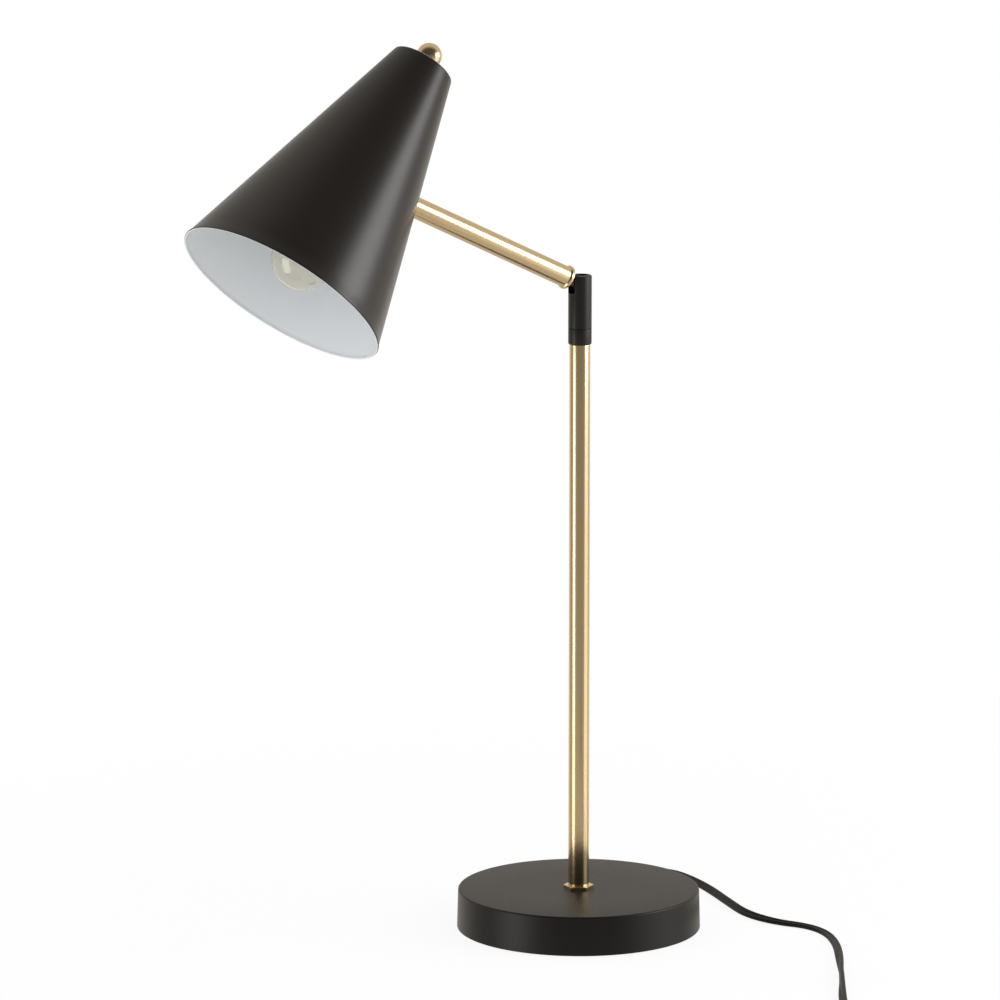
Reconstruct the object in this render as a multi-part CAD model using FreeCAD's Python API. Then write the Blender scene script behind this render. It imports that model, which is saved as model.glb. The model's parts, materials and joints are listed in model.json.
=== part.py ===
"""Desk lamp: weighted round base, straight stem, swivelling knuckle, tilting arm and cone shade.

Millimetres and degrees. +Z is up, the origin is the middle of the base's underside, on the table.
At rest the arm reaches towards -X and rises, and the elbow's axis lies along Y.
"""
import FreeCAD
import Part
import math
import os

from FreeCAD import Placement, Rotation, Vector

os.makedirs("parts", exist_ok=True)

UP = Vector(0, 0, 1)
ORIGIN = Vector(0, 0, 0)

# General fits
press_gap = 0.05
running_gap = 0.05
seat_gap = 0.1
cut_overrun = 1.0
edge_tolerance = 0.01
thread_end_gap = 1.0

# Base shell, its weight and its cover
base_bottom_radius = 80.6
base_side_taper = 0.7
base_height = 26.7
base_lift = 0.8
shell_wall = 1.2
shell_rim_radius = 1.3
pad_thickness = 1.6
pad_edge_inset = 3.0
cover_thickness = 1.5
cover_gap = 0.4
ballast_thickness = 14.0
ballast_gap = 1.6
ballast_edge_chamfer = 2.0
ballast_recess_radius = 20.0
ballast_web = 6.5
boss_radius = 5.5
boss_circle_radius = 58.0
boss_count = 3
boss_turn_deg = 20.0
cover_screw_radius = 1.9
cover_screw_head_radius = 3.6
cover_screw_length = 9.0

# Hollow rod that clamps the stem to the base
rod_radius = 4.9
rod_bore_radius = 3.4
rod_tail = 6.5
foot_nut_flats = 17.6
foot_nut_height = 2.0
foot_nut_turn_deg = -31.0
base_nut_flats = 17.0
base_nut_height = 4.5
washer_radius = 9.6
washer_thickness = 1.0
washer_tooth_count = 8
washer_tooth_depth = 1.8

# Stem
tube_radius = 6.9
tube_wall = 1.0
stem_top = 391.4
bush_length = 14.0

# Knuckle on top of the stem: fixed collar, turning fork
knuckle_radius = 7.7
knuckle_edge_radius = 0.8
collar_height = 10.4
swivel_gap = 0.4
fork_height = 34.6
swivel_stud_radius = 3.95
swivel_stud_bore_radius = 2.2
swivel_stud_depth = 10.0
swivel_head_radius = 5.4
swivel_head_height = 2.6
swivel_bush_radius = 6.1
swivel_bush_height = 7.0
friction_washer_thickness = 0.4
fork_web = 4.2
stop_pin_radius = 0.55
stop_pin_circle_radius = 5.1
stop_pin_depth = 4.0
stop_groove_depth = 2.0
stop_groove_gap = 0.2
stop_lug_deg = 8.0
thrust_washer_inner_radius = 6.0

# Elbow
pivot_drop = 5.6
slot_width = 8.0
slot_floor_drop = 6.0
slot_corner_radius = 1.6
slot_back_wall = 1.4
tongue_thickness = 7.0
tongue_radius = 4.9
elbow_washer_thickness = 0.4
elbow_washer_radius = 3.8
tongue_neck_half_height = 3.7
elbow_screw_radius = 2.0
elbow_screw_head_radius = 3.1
elbow_screw_head_height = 1.4
elbow_screw_wall = 1.0
screw_slot_width = 0.8
screw_slot_depth = 0.7

# Arm
arm_rise_deg = 25.34
arm_reach = 143.7
ring_start = 10.0
ring_thickness = 3.2
ring_radius = 7.9
ring_chamfer = 0.8
spigot_length = 12.0
arm_nipple_radius = 3.9
arm_nipple_depth = 11.0
arm_nipple_reach = 7.6
arm_nut_flats = 12.0
arm_nut_height = 3.4
arm_washer_radius = 6.0
arm_washer_thickness = 0.8
arm_washer_stand_off = 0.55

# Shade, measured along its own axis from its mouth
mouth_radius = 70.5
top_radius = 21.0
shade_height = 180.4
shade_wall = 0.7
shade_top_edge_radius = 1.4
arm_joint_height = 102.4
shade_twist_deg = 7.35
shade_hem_radius = 0.6

# Rod through the top of the shade, its nuts and the ball on top
shade_rod_radius = 3.9
shade_rod_bore_radius = 2.2
shade_nut_flats = 13.0
shade_nut_height = 4.0
ball_radius = 8.3
ball_rise = 7.9
ball_collar_radius = 5.6
ball_collar_height = 2.2
ball_thread_depth = 7.5

# Bulb and lampholder, measured from the mouth of the shade
bulb_centre_height = 27.0
bulb_radius = 20.0
bulb_glass_wall = 0.7
bulb_neck_radius = 6.3
bulb_neck_rise = 24.0
bulb_cap_radius = 5.9
bulb_cap_wall = 0.4
bulb_cap_length = 13.5
bulb_contact_radius = 2.4
bulb_contact_rise = 3.1
bulb_stem_radius = 2.6
bulb_stem_length = 11.0
bulb_filament_radius = 0.45
bulb_filament_circle_radius = 5.0
bulb_filament_length = 13.0
bulb_filament_count = 4
bulb_filament_gap = 0.1
holder_bore_depth = 24.0
holder_floor_rise = 2.4
holder_floor_thickness = 10.0
holder_radius = 10.4
holder_bore_radius = 7.1
screw_shell_radius = 6.7
screw_shell_wall = 0.4
screw_shell_length = 21.5
contact_spring_width = 3.0
contact_spring_thickness = 0.6
holder_cap_radius = 11.6
holder_cap_depth = 11.0
holder_cap_room = 4.0
holder_cap_wall = 1.0
holder_hub_radius = 6.2
holder_hub_height = 8.0

# Leads inside the lamp
lead_radius = 1.6
lead_bend_radius = 8.0
lead_shoulder = 9.0
lead_slope = 5.0
lead_stub = 1.0

# Cord, a flat twin lead drawn round at its full width
cord_radius = 2.8
cord_exit_height = 7.8
cord_exit_deg = 50.0
boot_length = 24.0
boot_root_radius = 4.6
boot_tip_radius = 3.4
gland_radius = 5.4
gland_inner_radius = 4.2
gland_neck_radius = 3.4
gland_sag = 0.4
gland_flange = 1.5
boot_groove_count = 4
boot_groove_depth = 0.5
boot_groove_width = 1.4

# In-line switch on the cord
switch_length = 60.0
switch_width = 24.0
switch_height = 16.8
switch_corner_radius = 9.0
switch_edge_radius = 1.6
switch_wall = 1.8
switch_split_height = 8.4
switch_neck_length = 5.0
switch_neck_radius = 4.6
rocker_length = 17.0
rocker_width = 11.0
rocker_gap = 0.5
rocker_depth = 5.0
rocker_crown_drop = 0.9
rocker_pin_radius = 1.2
rocker_pin_seat = 1.2
rocker_tilt_deg = 7.0
switch_screw_radius = 1.4
switch_screw_head_radius = 2.6
switch_screw_head_height = 1.8
switch_screw_place_share = 0.34
contact_strip_width = 3.0
contact_strip_thickness = 0.6
contact_strip_length = 14.0
contact_strip_spread = 5.0

# Free cord: its straight run out of the boot, and each bend's share of its shorter run
lead_out = 16.0
bend_share = 0.45

# Coil of spare cord, and the runs of cord before and after it
link_length = 46.0
link_run = 14.0
end_reaches = [0.0, 12.0, 26.0, 40.0, 52.0]
end_fall_shares = [0.0, 0.0, 0.66, 1.0, 1.0]
coil_outer_radius = 41.0
coil_pitch = 6.4
coil_layer_rise = 6.3
coil_layer_turns = 2.5
coil_apart_diameters = 6.0
small_turn = 0.0002
tie_gap = 0.2
tie_thickness = 0.6
tie_width = 7.0
tie_turn_share = 0.25

# Plug
plug_body_length = 22.0
plug_body_width = 24.0
plug_body_height = 14.0
plug_nose_share = 0.45
plug_edge_radius = 2.4
plug_neck_length = 10.0
plug_neck_radius = 3.9
blade_length = 17.0
blade_height = 6.35
blade_thickness = 1.5
blade_spread = 12.7
blade_root = 3.0

# Cord route on the table, chosen by hand; the boot's end and a straight run out of it come before it
lead_route = [
    (95.8, 104.0, 5.4), (116.4, 102.5, 3.0), (129.6, 86.6, 2.8), (127.9, 58.5, 2.8), (123.3, 28.6, 2.8),
    (115.4, -4.0, 2.8), (108.4, -37.1, 2.8), (113.8, -64.9, 2.8), (127.2, -83.4, 2.8), (128.2, -105.0, 2.8),
    (115.6, -134.8, 2.8), (95.2, -168.1, 2.8), (71.7, -205.3, 2.8), (47.5, -240.9, 2.8), (26.6, -275.0, 2.8),
    (13.2, -299.6, 4.2), (4.1, -315.1, 8.4), (-4.2, -328.8, 8.4),
]


def save(name, shape):
    """Write one node and print its volume and number of solids."""
    if not shape.isValid():
        print("not valid:", name)
    shape.exportStep("parts/" + name + ".step")
    print(name, len(shape.Solids), round(shape.Volume, 1))


def cylinder(radius, low, high):
    return Part.makeCylinder(radius, high - low, Vector(0, 0, low))


def ring(outer, inner, low, high):
    """Round ring or tube on the Z axis, its hole cut clean through."""
    return cylinder(outer, low, high).cut(cylinder(inner, low - cut_overrun, high + cut_overrun))


def hexagon(flats, low, high, turn_deg=0.0):
    """Hexagonal prism on the Z axis, a corner along X before it is turned."""
    corner = flats / math.sqrt(3)
    points = []
    for k in range(7):
        angle = math.pi / 3 * k + math.radians(turn_deg)
        points.append(Vector(corner * math.cos(angle), corner * math.sin(angle), low))
    return Part.Face(Part.makePolygon(points)).extrude(Vector(0, 0, high - low))


def nut(flats, bore, low, high, turn_deg=0.0):
    """Hexagon nut, both rims turned down to a cone, so that only its corners are cut."""
    height = high - low
    corner = flats / math.sqrt(3)
    drop = min(corner - flats / 2, height / 3)
    outline = [
        Vector(bore, 0, low),
        Vector(corner - drop, 0, low),
        Vector(corner, 0, low + drop / 2),
        Vector(corner, 0, high - drop / 2),
        Vector(corner - drop, 0, high),
        Vector(bore, 0, high),
    ]
    return hexagon(flats, low, high, turn_deg).common(turned(outline))


def turned(points):
    """Solid of revolution about Z from an outline of points in the XZ plane."""
    face = Part.Face(Part.makePolygon(points + [points[0]]))
    return face.revolve(ORIGIN, UP, 360)


def turned_edges(edges):
    """Solid of revolution about Z from a closed chain of edges in the XZ plane."""
    return Part.Face(Part.Wire(edges)).revolve(ORIGIN, UP, 360)


def box(x_size, y_size, z_size, centre):
    corner = Vector(centre.x - x_size / 2, centre.y - y_size / 2, centre.z - z_size / 2)
    return Part.makeBox(x_size, y_size, z_size, corner)


def round_rims(shape, radius, heights):
    """Round the full-circle edges of a turned shape that lie at the given heights."""
    rims = []
    for edge in shape.Edges:
        bounds = edge.BoundBox
        flat = bounds.ZLength < edge_tolerance
        if flat and any(abs(bounds.ZMin - height) < edge_tolerance for height in heights):
            rims.append(edge)
    return shape.makeFillet(radius, rims)


def placed(shape, placement):
    copy = shape.copy()
    copy.Placement = placement.multiply(copy.Placement)
    return copy


def frame_from(origin, x_axis, z_axis):
    """Placement whose X and Z axes point along two directions that are square to each other."""
    return Placement(origin, Rotation(x_axis, z_axis.cross(x_axis), z_axis, "ZXY"))


def together(shapes):
    return Part.makeCompound(shapes)


def route_edges(points):
    """Straight runs joined by tangent arcs, each as large as its two runs allow."""
    corners = [Vector(*p) for p in points]
    edges = []
    radii = []
    start = corners[0]
    for before, here, after in zip(corners, corners[1:], corners[2:]):
        run_in = here - before
        run_out = after - here
        way_in = run_in.normalize()
        length_in = (here - before).Length
        way_out = run_out.normalize()
        length_out = (after - here).Length
        turn = way_in.getAngle(way_out)
        reach = bend_share * min(length_in, length_out)
        radius = reach / math.tan(turn / 2)
        radii.append(radius)
        first = here - way_in * reach
        last = here + way_out * reach
        bisector = (way_out - way_in).normalize()
        middle = here + bisector * (radius / math.cos(turn / 2) - radius)
        edges.append(Part.LineSegment(start, first).toShape())
        edges.append(Part.Arc(first, middle, last).toShape())
        start = last
    edges.append(Part.LineSegment(start, corners[-1]).toShape())
    return edges, radii


def tube_along(edges, radius):
    """Solid round tube along a chain of tangent edges."""
    wire = Part.Wire(edges)
    start = edges[0].firstVertex().Point
    way = edges[0].tangentAt(edges[0].FirstParameter)
    section = Part.Wire(Part.Circle(start, way, radius).toShape())
    return wire.makePipeShell([section], True, False)


def report_tube(name, shape, edges, radius, radii):
    length = sum(edge.Length for edge in edges)
    section = math.pi * radius ** 2
    print(name, "length", round(length, 1), "volume ratio", round(shape.Volume / (section * length), 4))
    print(name, "bend radii", [round(r, 1) for r in radii])
    return length


def along_exit(distance, height):
    """Point at a distance from the stem's axis, in the direction in which the cord leaves the base."""
    angle = math.radians(cord_exit_deg)
    return Vector(distance * math.cos(angle), distance * math.sin(angle), height)


# Heights that several pieces share
cover_bottom = pad_thickness
cover_top = cover_bottom + cover_thickness
shell_under = base_height - shell_wall
ballast_bottom = shell_under - ballast_thickness
web_bottom = shell_under - ballast_web
washer_bottom = web_bottom - washer_thickness
base_nut_bottom = washer_bottom - base_nut_height
rod_bottom = web_bottom - rod_tail
stem_bottom = base_height + foot_nut_height
collar_top = stem_top + collar_height
fork_bottom = collar_top + swivel_gap
fork_top = fork_bottom + fork_height
pivot_height = fork_top - pivot_drop
slot_floor = pivot_height - slot_floor_drop
bush_top = fork_bottom + swivel_bush_height
head_bottom = bush_top + friction_washer_thickness
tube_bore = tube_radius - tube_wall
base_top_radius = base_bottom_radius - base_side_taper
shell_slope = (base_bottom_radius - base_top_radius) / (base_height - base_lift)
wall_at_exit = base_bottom_radius - (cord_exit_height - base_lift) * shell_slope

# Arm frame: X runs along the arm from the elbow pivot, Y is the elbow's axis
arm_rise = math.radians(arm_rise_deg)
arm_way = Vector(-math.cos(arm_rise), 0, math.sin(arm_rise))
arm_over = Vector(math.sin(arm_rise), 0, math.cos(arm_rise))
arm_frame = frame_from(Vector(0, 0, pivot_height), arm_way, arm_over)
# The same frame with Z along the arm, for turned pieces
arm_turned = frame_from(Vector(0, 0, pivot_height), arm_over, arm_way)

# Shade frame: Z runs up the shade's axis from its mouth, X points to the side that the arm meets
shade_half = math.atan((mouth_radius - top_radius) / shade_height)
wall_radius = mouth_radius - arm_joint_height * math.tan(shade_half)
twist = Rotation(arm_way, shade_twist_deg)
wall_out = arm_way * -1
wall_up = twist.multVec(arm_over)
shade_x = wall_out * math.cos(shade_half) - wall_up * math.sin(shade_half)
shade_z = wall_up * math.cos(shade_half) + wall_out * math.sin(shade_half)
wall_point = Vector(0, 0, pivot_height) + arm_way * arm_reach
shade_origin = wall_point - shade_x * wall_radius - shade_z * arm_joint_height
shade_frame = frame_from(shade_origin, shade_x, shade_z)
wall_across = shade_wall / math.cos(shade_half)

# Heights of the bulb and its holder above the shade's mouth, each from the piece before it
bulb_neck_height = bulb_centre_height + bulb_neck_rise
bulb_cap_height = bulb_neck_height + bulb_cap_length
bulb_contact_height = bulb_cap_height + bulb_contact_rise
holder_floor_height = bulb_contact_height + holder_floor_rise
holder_mouth_height = holder_floor_height - holder_bore_depth
screw_shell_mouth_height = holder_floor_height - screw_shell_length
holder_back_height = holder_floor_height + holder_floor_thickness
holder_cap_back_height = holder_back_height + holder_cap_room
holder_cap_mouth_height = holder_cap_back_height - holder_cap_depth


def make_base():
    """Spun shell, cast weight with three bosses, cover plate, its screws and the soft pad."""
    outer = [
        Vector(0, 0, base_lift - cut_overrun),
        Vector(base_bottom_radius + cut_overrun * shell_slope, 0, base_lift - cut_overrun),
        Vector(base_top_radius, 0, base_height),
        Vector(0, 0, base_height),
    ]
    shell = round_rims(turned(outer), shell_rim_radius, [base_height])
    inner = [
        Vector(0, 0, base_lift - 2 * cut_overrun),
        Vector(base_bottom_radius - shell_wall + 2 * cut_overrun * shell_slope, 0, base_lift - 2 * cut_overrun),
        Vector(base_top_radius - shell_wall, 0, shell_under),
        Vector(0, 0, shell_under),
    ]
    shell = shell.cut(turned(inner))
    shell = shell.cut(cylinder(base_bottom_radius + 2 * cut_overrun, base_lift - 2 * cut_overrun, base_lift))
    shell = shell.cut(cylinder(rod_radius + press_gap, shell_under - cut_overrun, base_height + cut_overrun))
    gland_hole = Part.makeCylinder(
        gland_neck_radius + press_gap, base_bottom_radius,
        along_exit(base_bottom_radius / 2, cord_exit_height), along_exit(1, 0),
    )
    shell = shell.cut(gland_hole)
    save("base_shell", shell)

    inside = base_top_radius - shell_wall
    ballast_radius = inside - ballast_gap
    ballast = ring(ballast_radius, rod_radius + press_gap, ballast_bottom, shell_under)
    ballast = ballast.makeChamfer(ballast_edge_chamfer, [
        edge for edge in ballast.Edges
        if abs(edge.BoundBox.XMax - ballast_radius) < seat_gap and edge.BoundBox.ZLength < seat_gap
    ])
    ballast = ballast.cut(cylinder(ballast_recess_radius, ballast_bottom - cut_overrun, web_bottom))
    bosses = []
    screws = []
    holes = []
    for k in range(boss_count):
        angle = math.radians(boss_turn_deg + 360 * k / boss_count)
        place = Vector(boss_circle_radius * math.cos(angle), boss_circle_radius * math.sin(angle), 0)
        boss = cylinder(boss_radius, cover_top, ballast_bottom + cut_overrun)
        bosses.append(boss.translated(place))
        core = cylinder(cover_screw_radius + press_gap, cover_bottom, cover_bottom + cover_screw_length)
        sink = Part.makeCone(
            cover_screw_head_radius + press_gap, cover_screw_radius + press_gap,
            cover_thickness, Vector(0, 0, cover_bottom),
        )
        holes.append(core.fuse(sink).translated(place))
        shank = cylinder(cover_screw_radius, cover_bottom, cover_bottom + cover_screw_length - seat_gap)
        foot = Vector(0, 0, cover_bottom)
        head = Part.makeCone(cover_screw_head_radius, cover_screw_radius, cover_thickness, foot)
        groove = box(
            screw_slot_width, 4 * cover_screw_head_radius, screw_slot_depth,
            Vector(0, 0, cover_bottom + screw_slot_depth / 2),
        )
        screws.append(shank.fuse(head).cut(groove).translated(place))
    ballast = ballast.multiFuse(bosses)
    for hole in holes:
        ballast = ballast.cut(hole)
    save("ballast_weight", ballast.removeSplitter())

    cover = cylinder(base_top_radius - shell_wall - cover_gap, cover_bottom, cover_top)
    for hole in holes:
        cover = cover.cut(hole)
    save("bottom_cover", cover)
    save("cover_screws", together(screws))
    pad = cylinder(base_top_radius - shell_wall - pad_edge_inset, 0, pad_thickness)
    save("base_pad", pad)


def make_stem():
    """Hollow rod, nuts and toothed washer, stem tube and the bushes pressed in its ends."""
    rod_top = stem_bottom + bush_length
    save("threaded_rod", ring(rod_radius, rod_bore_radius, rod_bottom, rod_top))
    save("foot_nut", nut(foot_nut_flats, rod_radius + press_gap, base_height, stem_bottom, foot_nut_turn_deg))
    save("base_nut", nut(base_nut_flats, rod_radius + press_gap, base_nut_bottom, washer_bottom))
    washer = ring(washer_radius, rod_radius + press_gap, washer_bottom, web_bottom)
    for k in range(washer_tooth_count):
        angle = math.radians(360 * k / washer_tooth_count)
        place = Vector(washer_radius * math.cos(angle), washer_radius * math.sin(angle), 0)
        notch = cylinder(washer_tooth_depth, washer_bottom - cut_overrun, web_bottom + cut_overrun)
        washer = washer.cut(notch.translated(place))
    save("tooth_washer", washer)
    save("stem_tube", ring(tube_radius, tube_bore, stem_bottom, stem_top))
    bush_radius = tube_bore - press_gap
    save("stem_foot_bush", ring(bush_radius, rod_radius + press_gap, stem_bottom, rod_top))
    head_bush = ring(bush_radius, swivel_stud_radius + press_gap, stem_top - bush_length, stem_top)
    save("stem_head_bush", head_bush)


def make_swivel():
    """Collar, hollow stud, thrust and friction washers, stop pin, bush and fork."""
    collar = round_rims(cylinder(knuckle_radius, stem_top, collar_top), knuckle_edge_radius, [stem_top])
    stud_hole = cylinder(swivel_stud_radius + press_gap, stem_top - cut_overrun, collar_top + cut_overrun)
    collar = collar.cut(stud_hole)
    pin_place = Vector(stop_pin_circle_radius, 0, 0)
    pin_hole = cylinder(stop_pin_radius + press_gap, collar_top - stop_pin_depth, collar_top + cut_overrun)
    save("stem_collar", collar.cut(pin_hole.translated(pin_place)))
    pin_top = fork_bottom + stop_groove_depth - stop_groove_gap
    pin = cylinder(stop_pin_radius, collar_top - stop_pin_depth, pin_top)
    save("stop_pin", pin.translated(pin_place))

    stud = ring(swivel_stud_radius, swivel_stud_bore_radius, stem_top - swivel_stud_depth, head_bottom)
    head = ring(swivel_head_radius, swivel_stud_bore_radius, head_bottom, head_bottom + swivel_head_height)
    save("swivel_stud", stud.fuse(head).removeSplitter())
    save("thrust_washer", ring(
        knuckle_radius - knuckle_edge_radius, thrust_washer_inner_radius, collar_top, fork_bottom,
    ))
    save("friction_washer", ring(
        swivel_head_radius, swivel_stud_radius + running_gap, bush_top, head_bottom,
    ))

    bush = ring(swivel_bush_radius - press_gap, swivel_stud_radius + running_gap, fork_bottom, bush_top)
    groove_outer = stop_pin_circle_radius + stop_pin_radius + stop_groove_gap
    groove_inner = stop_pin_circle_radius - stop_pin_radius - stop_groove_gap
    groove = ring(groove_outer, groove_inner, fork_bottom - cut_overrun, fork_bottom + stop_groove_depth)
    lug = Part.makeCylinder(
        2 * knuckle_radius, 2 * cut_overrun + stop_groove_depth,
        Vector(0, 0, fork_bottom - cut_overrun), UP, stop_lug_deg,
    )
    lug.rotate(ORIGIN, UP, 180 - stop_lug_deg / 2)
    save("swivel_bush", bush.cut(groove.cut(lug)))

    fork = cylinder(knuckle_radius, fork_bottom, fork_top)
    fork = round_rims(fork, knuckle_edge_radius, [fork_top])
    cavity_top = slot_floor - fork_web
    fork = fork.cut(cylinder(swivel_bush_radius, fork_bottom - cut_overrun, cavity_top))
    fork = fork.cut(cylinder(lead_radius + seat_gap, cavity_top - cut_overrun, slot_floor + cut_overrun))
    slot_depth = fork_top - slot_floor + cut_overrun
    slot = box(4 * knuckle_radius, slot_width, slot_depth, Vector(0, 0, slot_floor + slot_depth / 2))
    lower = [
        edge for edge in slot.Edges
        if edge.BoundBox.XLength > knuckle_radius and abs(edge.BoundBox.ZMax - slot_floor) < seat_gap
    ]
    slot = slot.makeFillet(slot_corner_radius, lower)
    # The slot is open towards the arm; a thin round wall closes its other side
    pocket = cylinder(knuckle_radius - slot_back_wall, slot_floor - cut_overrun, fork_top + 2 * cut_overrun)
    open_side = box(
        4 * knuckle_radius, 4 * knuckle_radius, 2 * slot_depth,
        Vector(-2 * knuckle_radius, 0, slot_floor + slot_depth / 2),
    )
    fork = fork.cut(slot.common(pocket.fuse(open_side)))
    fork = fork.cut(elbow_screw(press_gap, cut_overrun))
    save("swivel_fork", fork)


def elbow_screw(gap, head_extra):
    """Screw along the elbow's axis, sunk in the far ear; a gap and a longer head make its hole."""
    flat = math.sqrt(knuckle_radius ** 2 - elbow_screw_head_radius ** 2)
    seat = flat - elbow_screw_head_height
    near = knuckle_radius - elbow_screw_wall
    shank = Part.makeCylinder(
        elbow_screw_radius + gap, seat + near, Vector(0, -near, pivot_height), Vector(0, 1, 0),
    )
    head = Part.makeCylinder(
        elbow_screw_head_radius + gap, elbow_screw_head_height + head_extra,
        Vector(0, seat, pivot_height), Vector(0, 1, 0),
    )
    return shank.fuse(head)


def make_elbow():
    """Pivot screw, its two washers and the tongue that the arm is fixed to."""
    screw = elbow_screw(0, 0)
    head_face = math.sqrt(knuckle_radius ** 2 - elbow_screw_head_radius ** 2)
    cross_slot = box(
        4 * elbow_screw_head_radius, screw_slot_depth, screw_slot_width,
        Vector(0, head_face - screw_slot_depth / 2, pivot_height),
    )
    save("elbow_screw", screw.cut(cross_slot).removeSplitter())
    washers = []
    for side in (-1, 1):
        middle = side * (tongue_thickness + elbow_washer_thickness) / 2
        start = Vector(0, middle - elbow_washer_thickness / 2, pivot_height)
        disc = Part.makeCylinder(elbow_washer_radius, elbow_washer_thickness, start, Vector(0, 1, 0))
        hole = Part.makeCylinder(
            elbow_screw_radius + running_gap, 4 * elbow_washer_thickness,
            start - Vector(0, elbow_washer_thickness, 0), Vector(0, 1, 0),
        )
        washers.append(disc.cut(hole))
    save("elbow_washers", together(washers))

    side = Vector(0, 1, 0)
    disc = Part.makeCylinder(tongue_radius, tongue_thickness, side * (-tongue_thickness / 2), side)
    neck = box(
        ring_start, tongue_thickness, 2 * tongue_neck_half_height,
        Vector(ring_start / 2, 0, 0),
    )
    spigot_radius = tube_bore - press_gap
    spigot = Part.makeCylinder(
        spigot_radius, ring_thickness + spigot_length, Vector(ring_start, 0, 0), Vector(1, 0, 0),
    )
    tongue = disc.multiFuse([neck, spigot])
    pin_hole = Part.makeCylinder(
        elbow_screw_radius + running_gap, 2 * tongue_thickness, side * -tongue_thickness, side,
    )
    lead_turn = elbow_screw_radius + 2 * lead_radius + seat_gap
    lead_way = Part.makeCylinder(
        lead_radius + seat_gap, ring_start + ring_thickness + spigot_length + cut_overrun,
        Vector(lead_turn, 0, 0), Vector(1, 0, 0),
    )
    lead_drop = Part.makeCylinder(
        lead_radius + seat_gap, tongue_radius + cut_overrun,
        Vector(lead_turn + lead_radius, 0, 0), Vector(0, 0, -1),
    )
    tongue = tongue.cut(pin_hole).cut(lead_way.fuse(lead_drop))
    save("arm_tongue", placed(tongue, arm_frame))


def shade_outline_solid(extra):
    """Solid cone of the shade's outer form, grown sideways by an extra amount."""
    return placed(turned([
        Vector(0, 0, 0),
        Vector(mouth_radius + extra, 0, 0),
        Vector(top_radius + extra, 0, shade_height),
        Vector(0, 0, shade_height),
    ]), shade_frame)


def make_arm():
    """End ring, arm tube coped to the shade, the bush in its end, nipple, washer and nut."""
    ring_end = ring_start + ring_thickness
    spigot_radius = tube_bore - press_gap
    end_ring = turned([
        Vector(spigot_radius + press_gap, 0, ring_start),
        Vector(ring_radius - ring_chamfer, 0, ring_start),
        Vector(ring_radius, 0, ring_start + ring_chamfer),
        Vector(ring_radius, 0, ring_end - ring_chamfer),
        Vector(ring_radius - ring_chamfer, 0, ring_end),
        Vector(spigot_radius + press_gap, 0, ring_end),
    ])
    save("arm_end_ring", placed(end_ring, arm_turned))
    tube = placed(ring(tube_radius, tube_bore, ring_end, arm_reach + cut_overrun), arm_turned)
    save("arm_tube", tube.cut(shade_outline_solid(seat_gap)))
    bush_end = arm_reach - seat_gap
    bush = ring(spigot_radius, arm_nipple_radius + press_gap, bush_end - bush_length, bush_end)
    save("arm_tip_bush", placed(bush, arm_turned).cut(shade_outline_solid(seat_gap)))
    nipple = ring(
        arm_nipple_radius, swivel_stud_bore_radius,
        arm_reach - arm_nipple_depth, arm_reach + arm_nipple_reach,
    )
    save("arm_nipple", placed(nipple, arm_turned))
    washer_start = arm_reach + shade_wall + arm_washer_stand_off
    nut_start = washer_start + arm_washer_thickness
    washer = ring(arm_washer_radius, arm_nipple_radius + press_gap, washer_start, nut_start)
    save("arm_washer", placed(washer, arm_turned))
    arm_nut = nut(arm_nut_flats, arm_nipple_radius + press_gap, nut_start, nut_start + arm_nut_height)
    save("arm_nut", placed(arm_nut, arm_turned))


def make_shade():
    """Spun cone with its flat top and a thin turned hem, and the rod, nuts and ball at the top."""
    top_inside = shade_height - shade_wall
    inner_top = top_radius - wall_across + shade_wall * math.tan(shade_half)
    cone = turned([
        Vector(0, 0, 0),
        Vector(mouth_radius, 0, 0),
        Vector(top_radius, 0, shade_height),
        Vector(0, 0, shade_height),
    ])
    cone = round_rims(cone, shade_top_edge_radius, [shade_height])
    hollow = turned([
        Vector(0, 0, -cut_overrun),
        Vector(mouth_radius - wall_across + cut_overrun * math.tan(shade_half), 0, -cut_overrun),
        Vector(inner_top, 0, top_inside),
        Vector(0, 0, top_inside),
    ])
    hem_middle = mouth_radius - wall_across / 2
    hem = Part.makeTorus(hem_middle, shade_hem_radius, Vector(0, 0, shade_hem_radius), UP)
    shade = cone.cut(hollow).fuse(hem)
    rod_hole = cylinder(shade_rod_radius + press_gap, top_inside - cut_overrun, shade_height + cut_overrun)
    shade = shade.cut(rod_hole)
    shade = placed(shade, shade_frame)
    arm_hole = placed(
        cylinder(arm_nipple_radius + press_gap, arm_reach - arm_nipple_depth, arm_reach + arm_nipple_depth),
        arm_turned,
    )
    save("shade", shade.cut(arm_hole))

    rod_bottom_height = holder_cap_back_height - holder_cap_wall
    thread_top = shade_height + ball_collar_height + ball_thread_depth
    rod_top_height = thread_top - thread_end_gap
    rod = ring(shade_rod_radius, shade_rod_bore_radius, rod_bottom_height, rod_top_height)
    save("shade_rod", placed(rod, shade_frame))
    bore = shade_rod_radius + press_gap
    nut_under = nut(shade_nut_flats, bore, top_inside - shade_nut_height, top_inside)
    hub_top = holder_cap_back_height + holder_hub_height
    nut_holder = nut(shade_nut_flats, bore, hub_top, hub_top + shade_nut_height)
    save("shade_rod_nuts", placed(together([nut_under, nut_holder]), shade_frame))
    ball = Part.makeSphere(ball_radius, Vector(0, 0, shade_height + ball_rise))
    ball = ball.cut(cylinder(2 * ball_radius, shade_height - 2 * ball_radius, shade_height))
    ball = ball.fuse(cylinder(ball_collar_radius, shade_height, shade_height + ball_collar_height))
    ball = ball.cut(cylinder(bore, shade_height - cut_overrun, thread_top))
    save("ball_finial", placed(ball.removeSplitter(), shade_frame))


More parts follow.
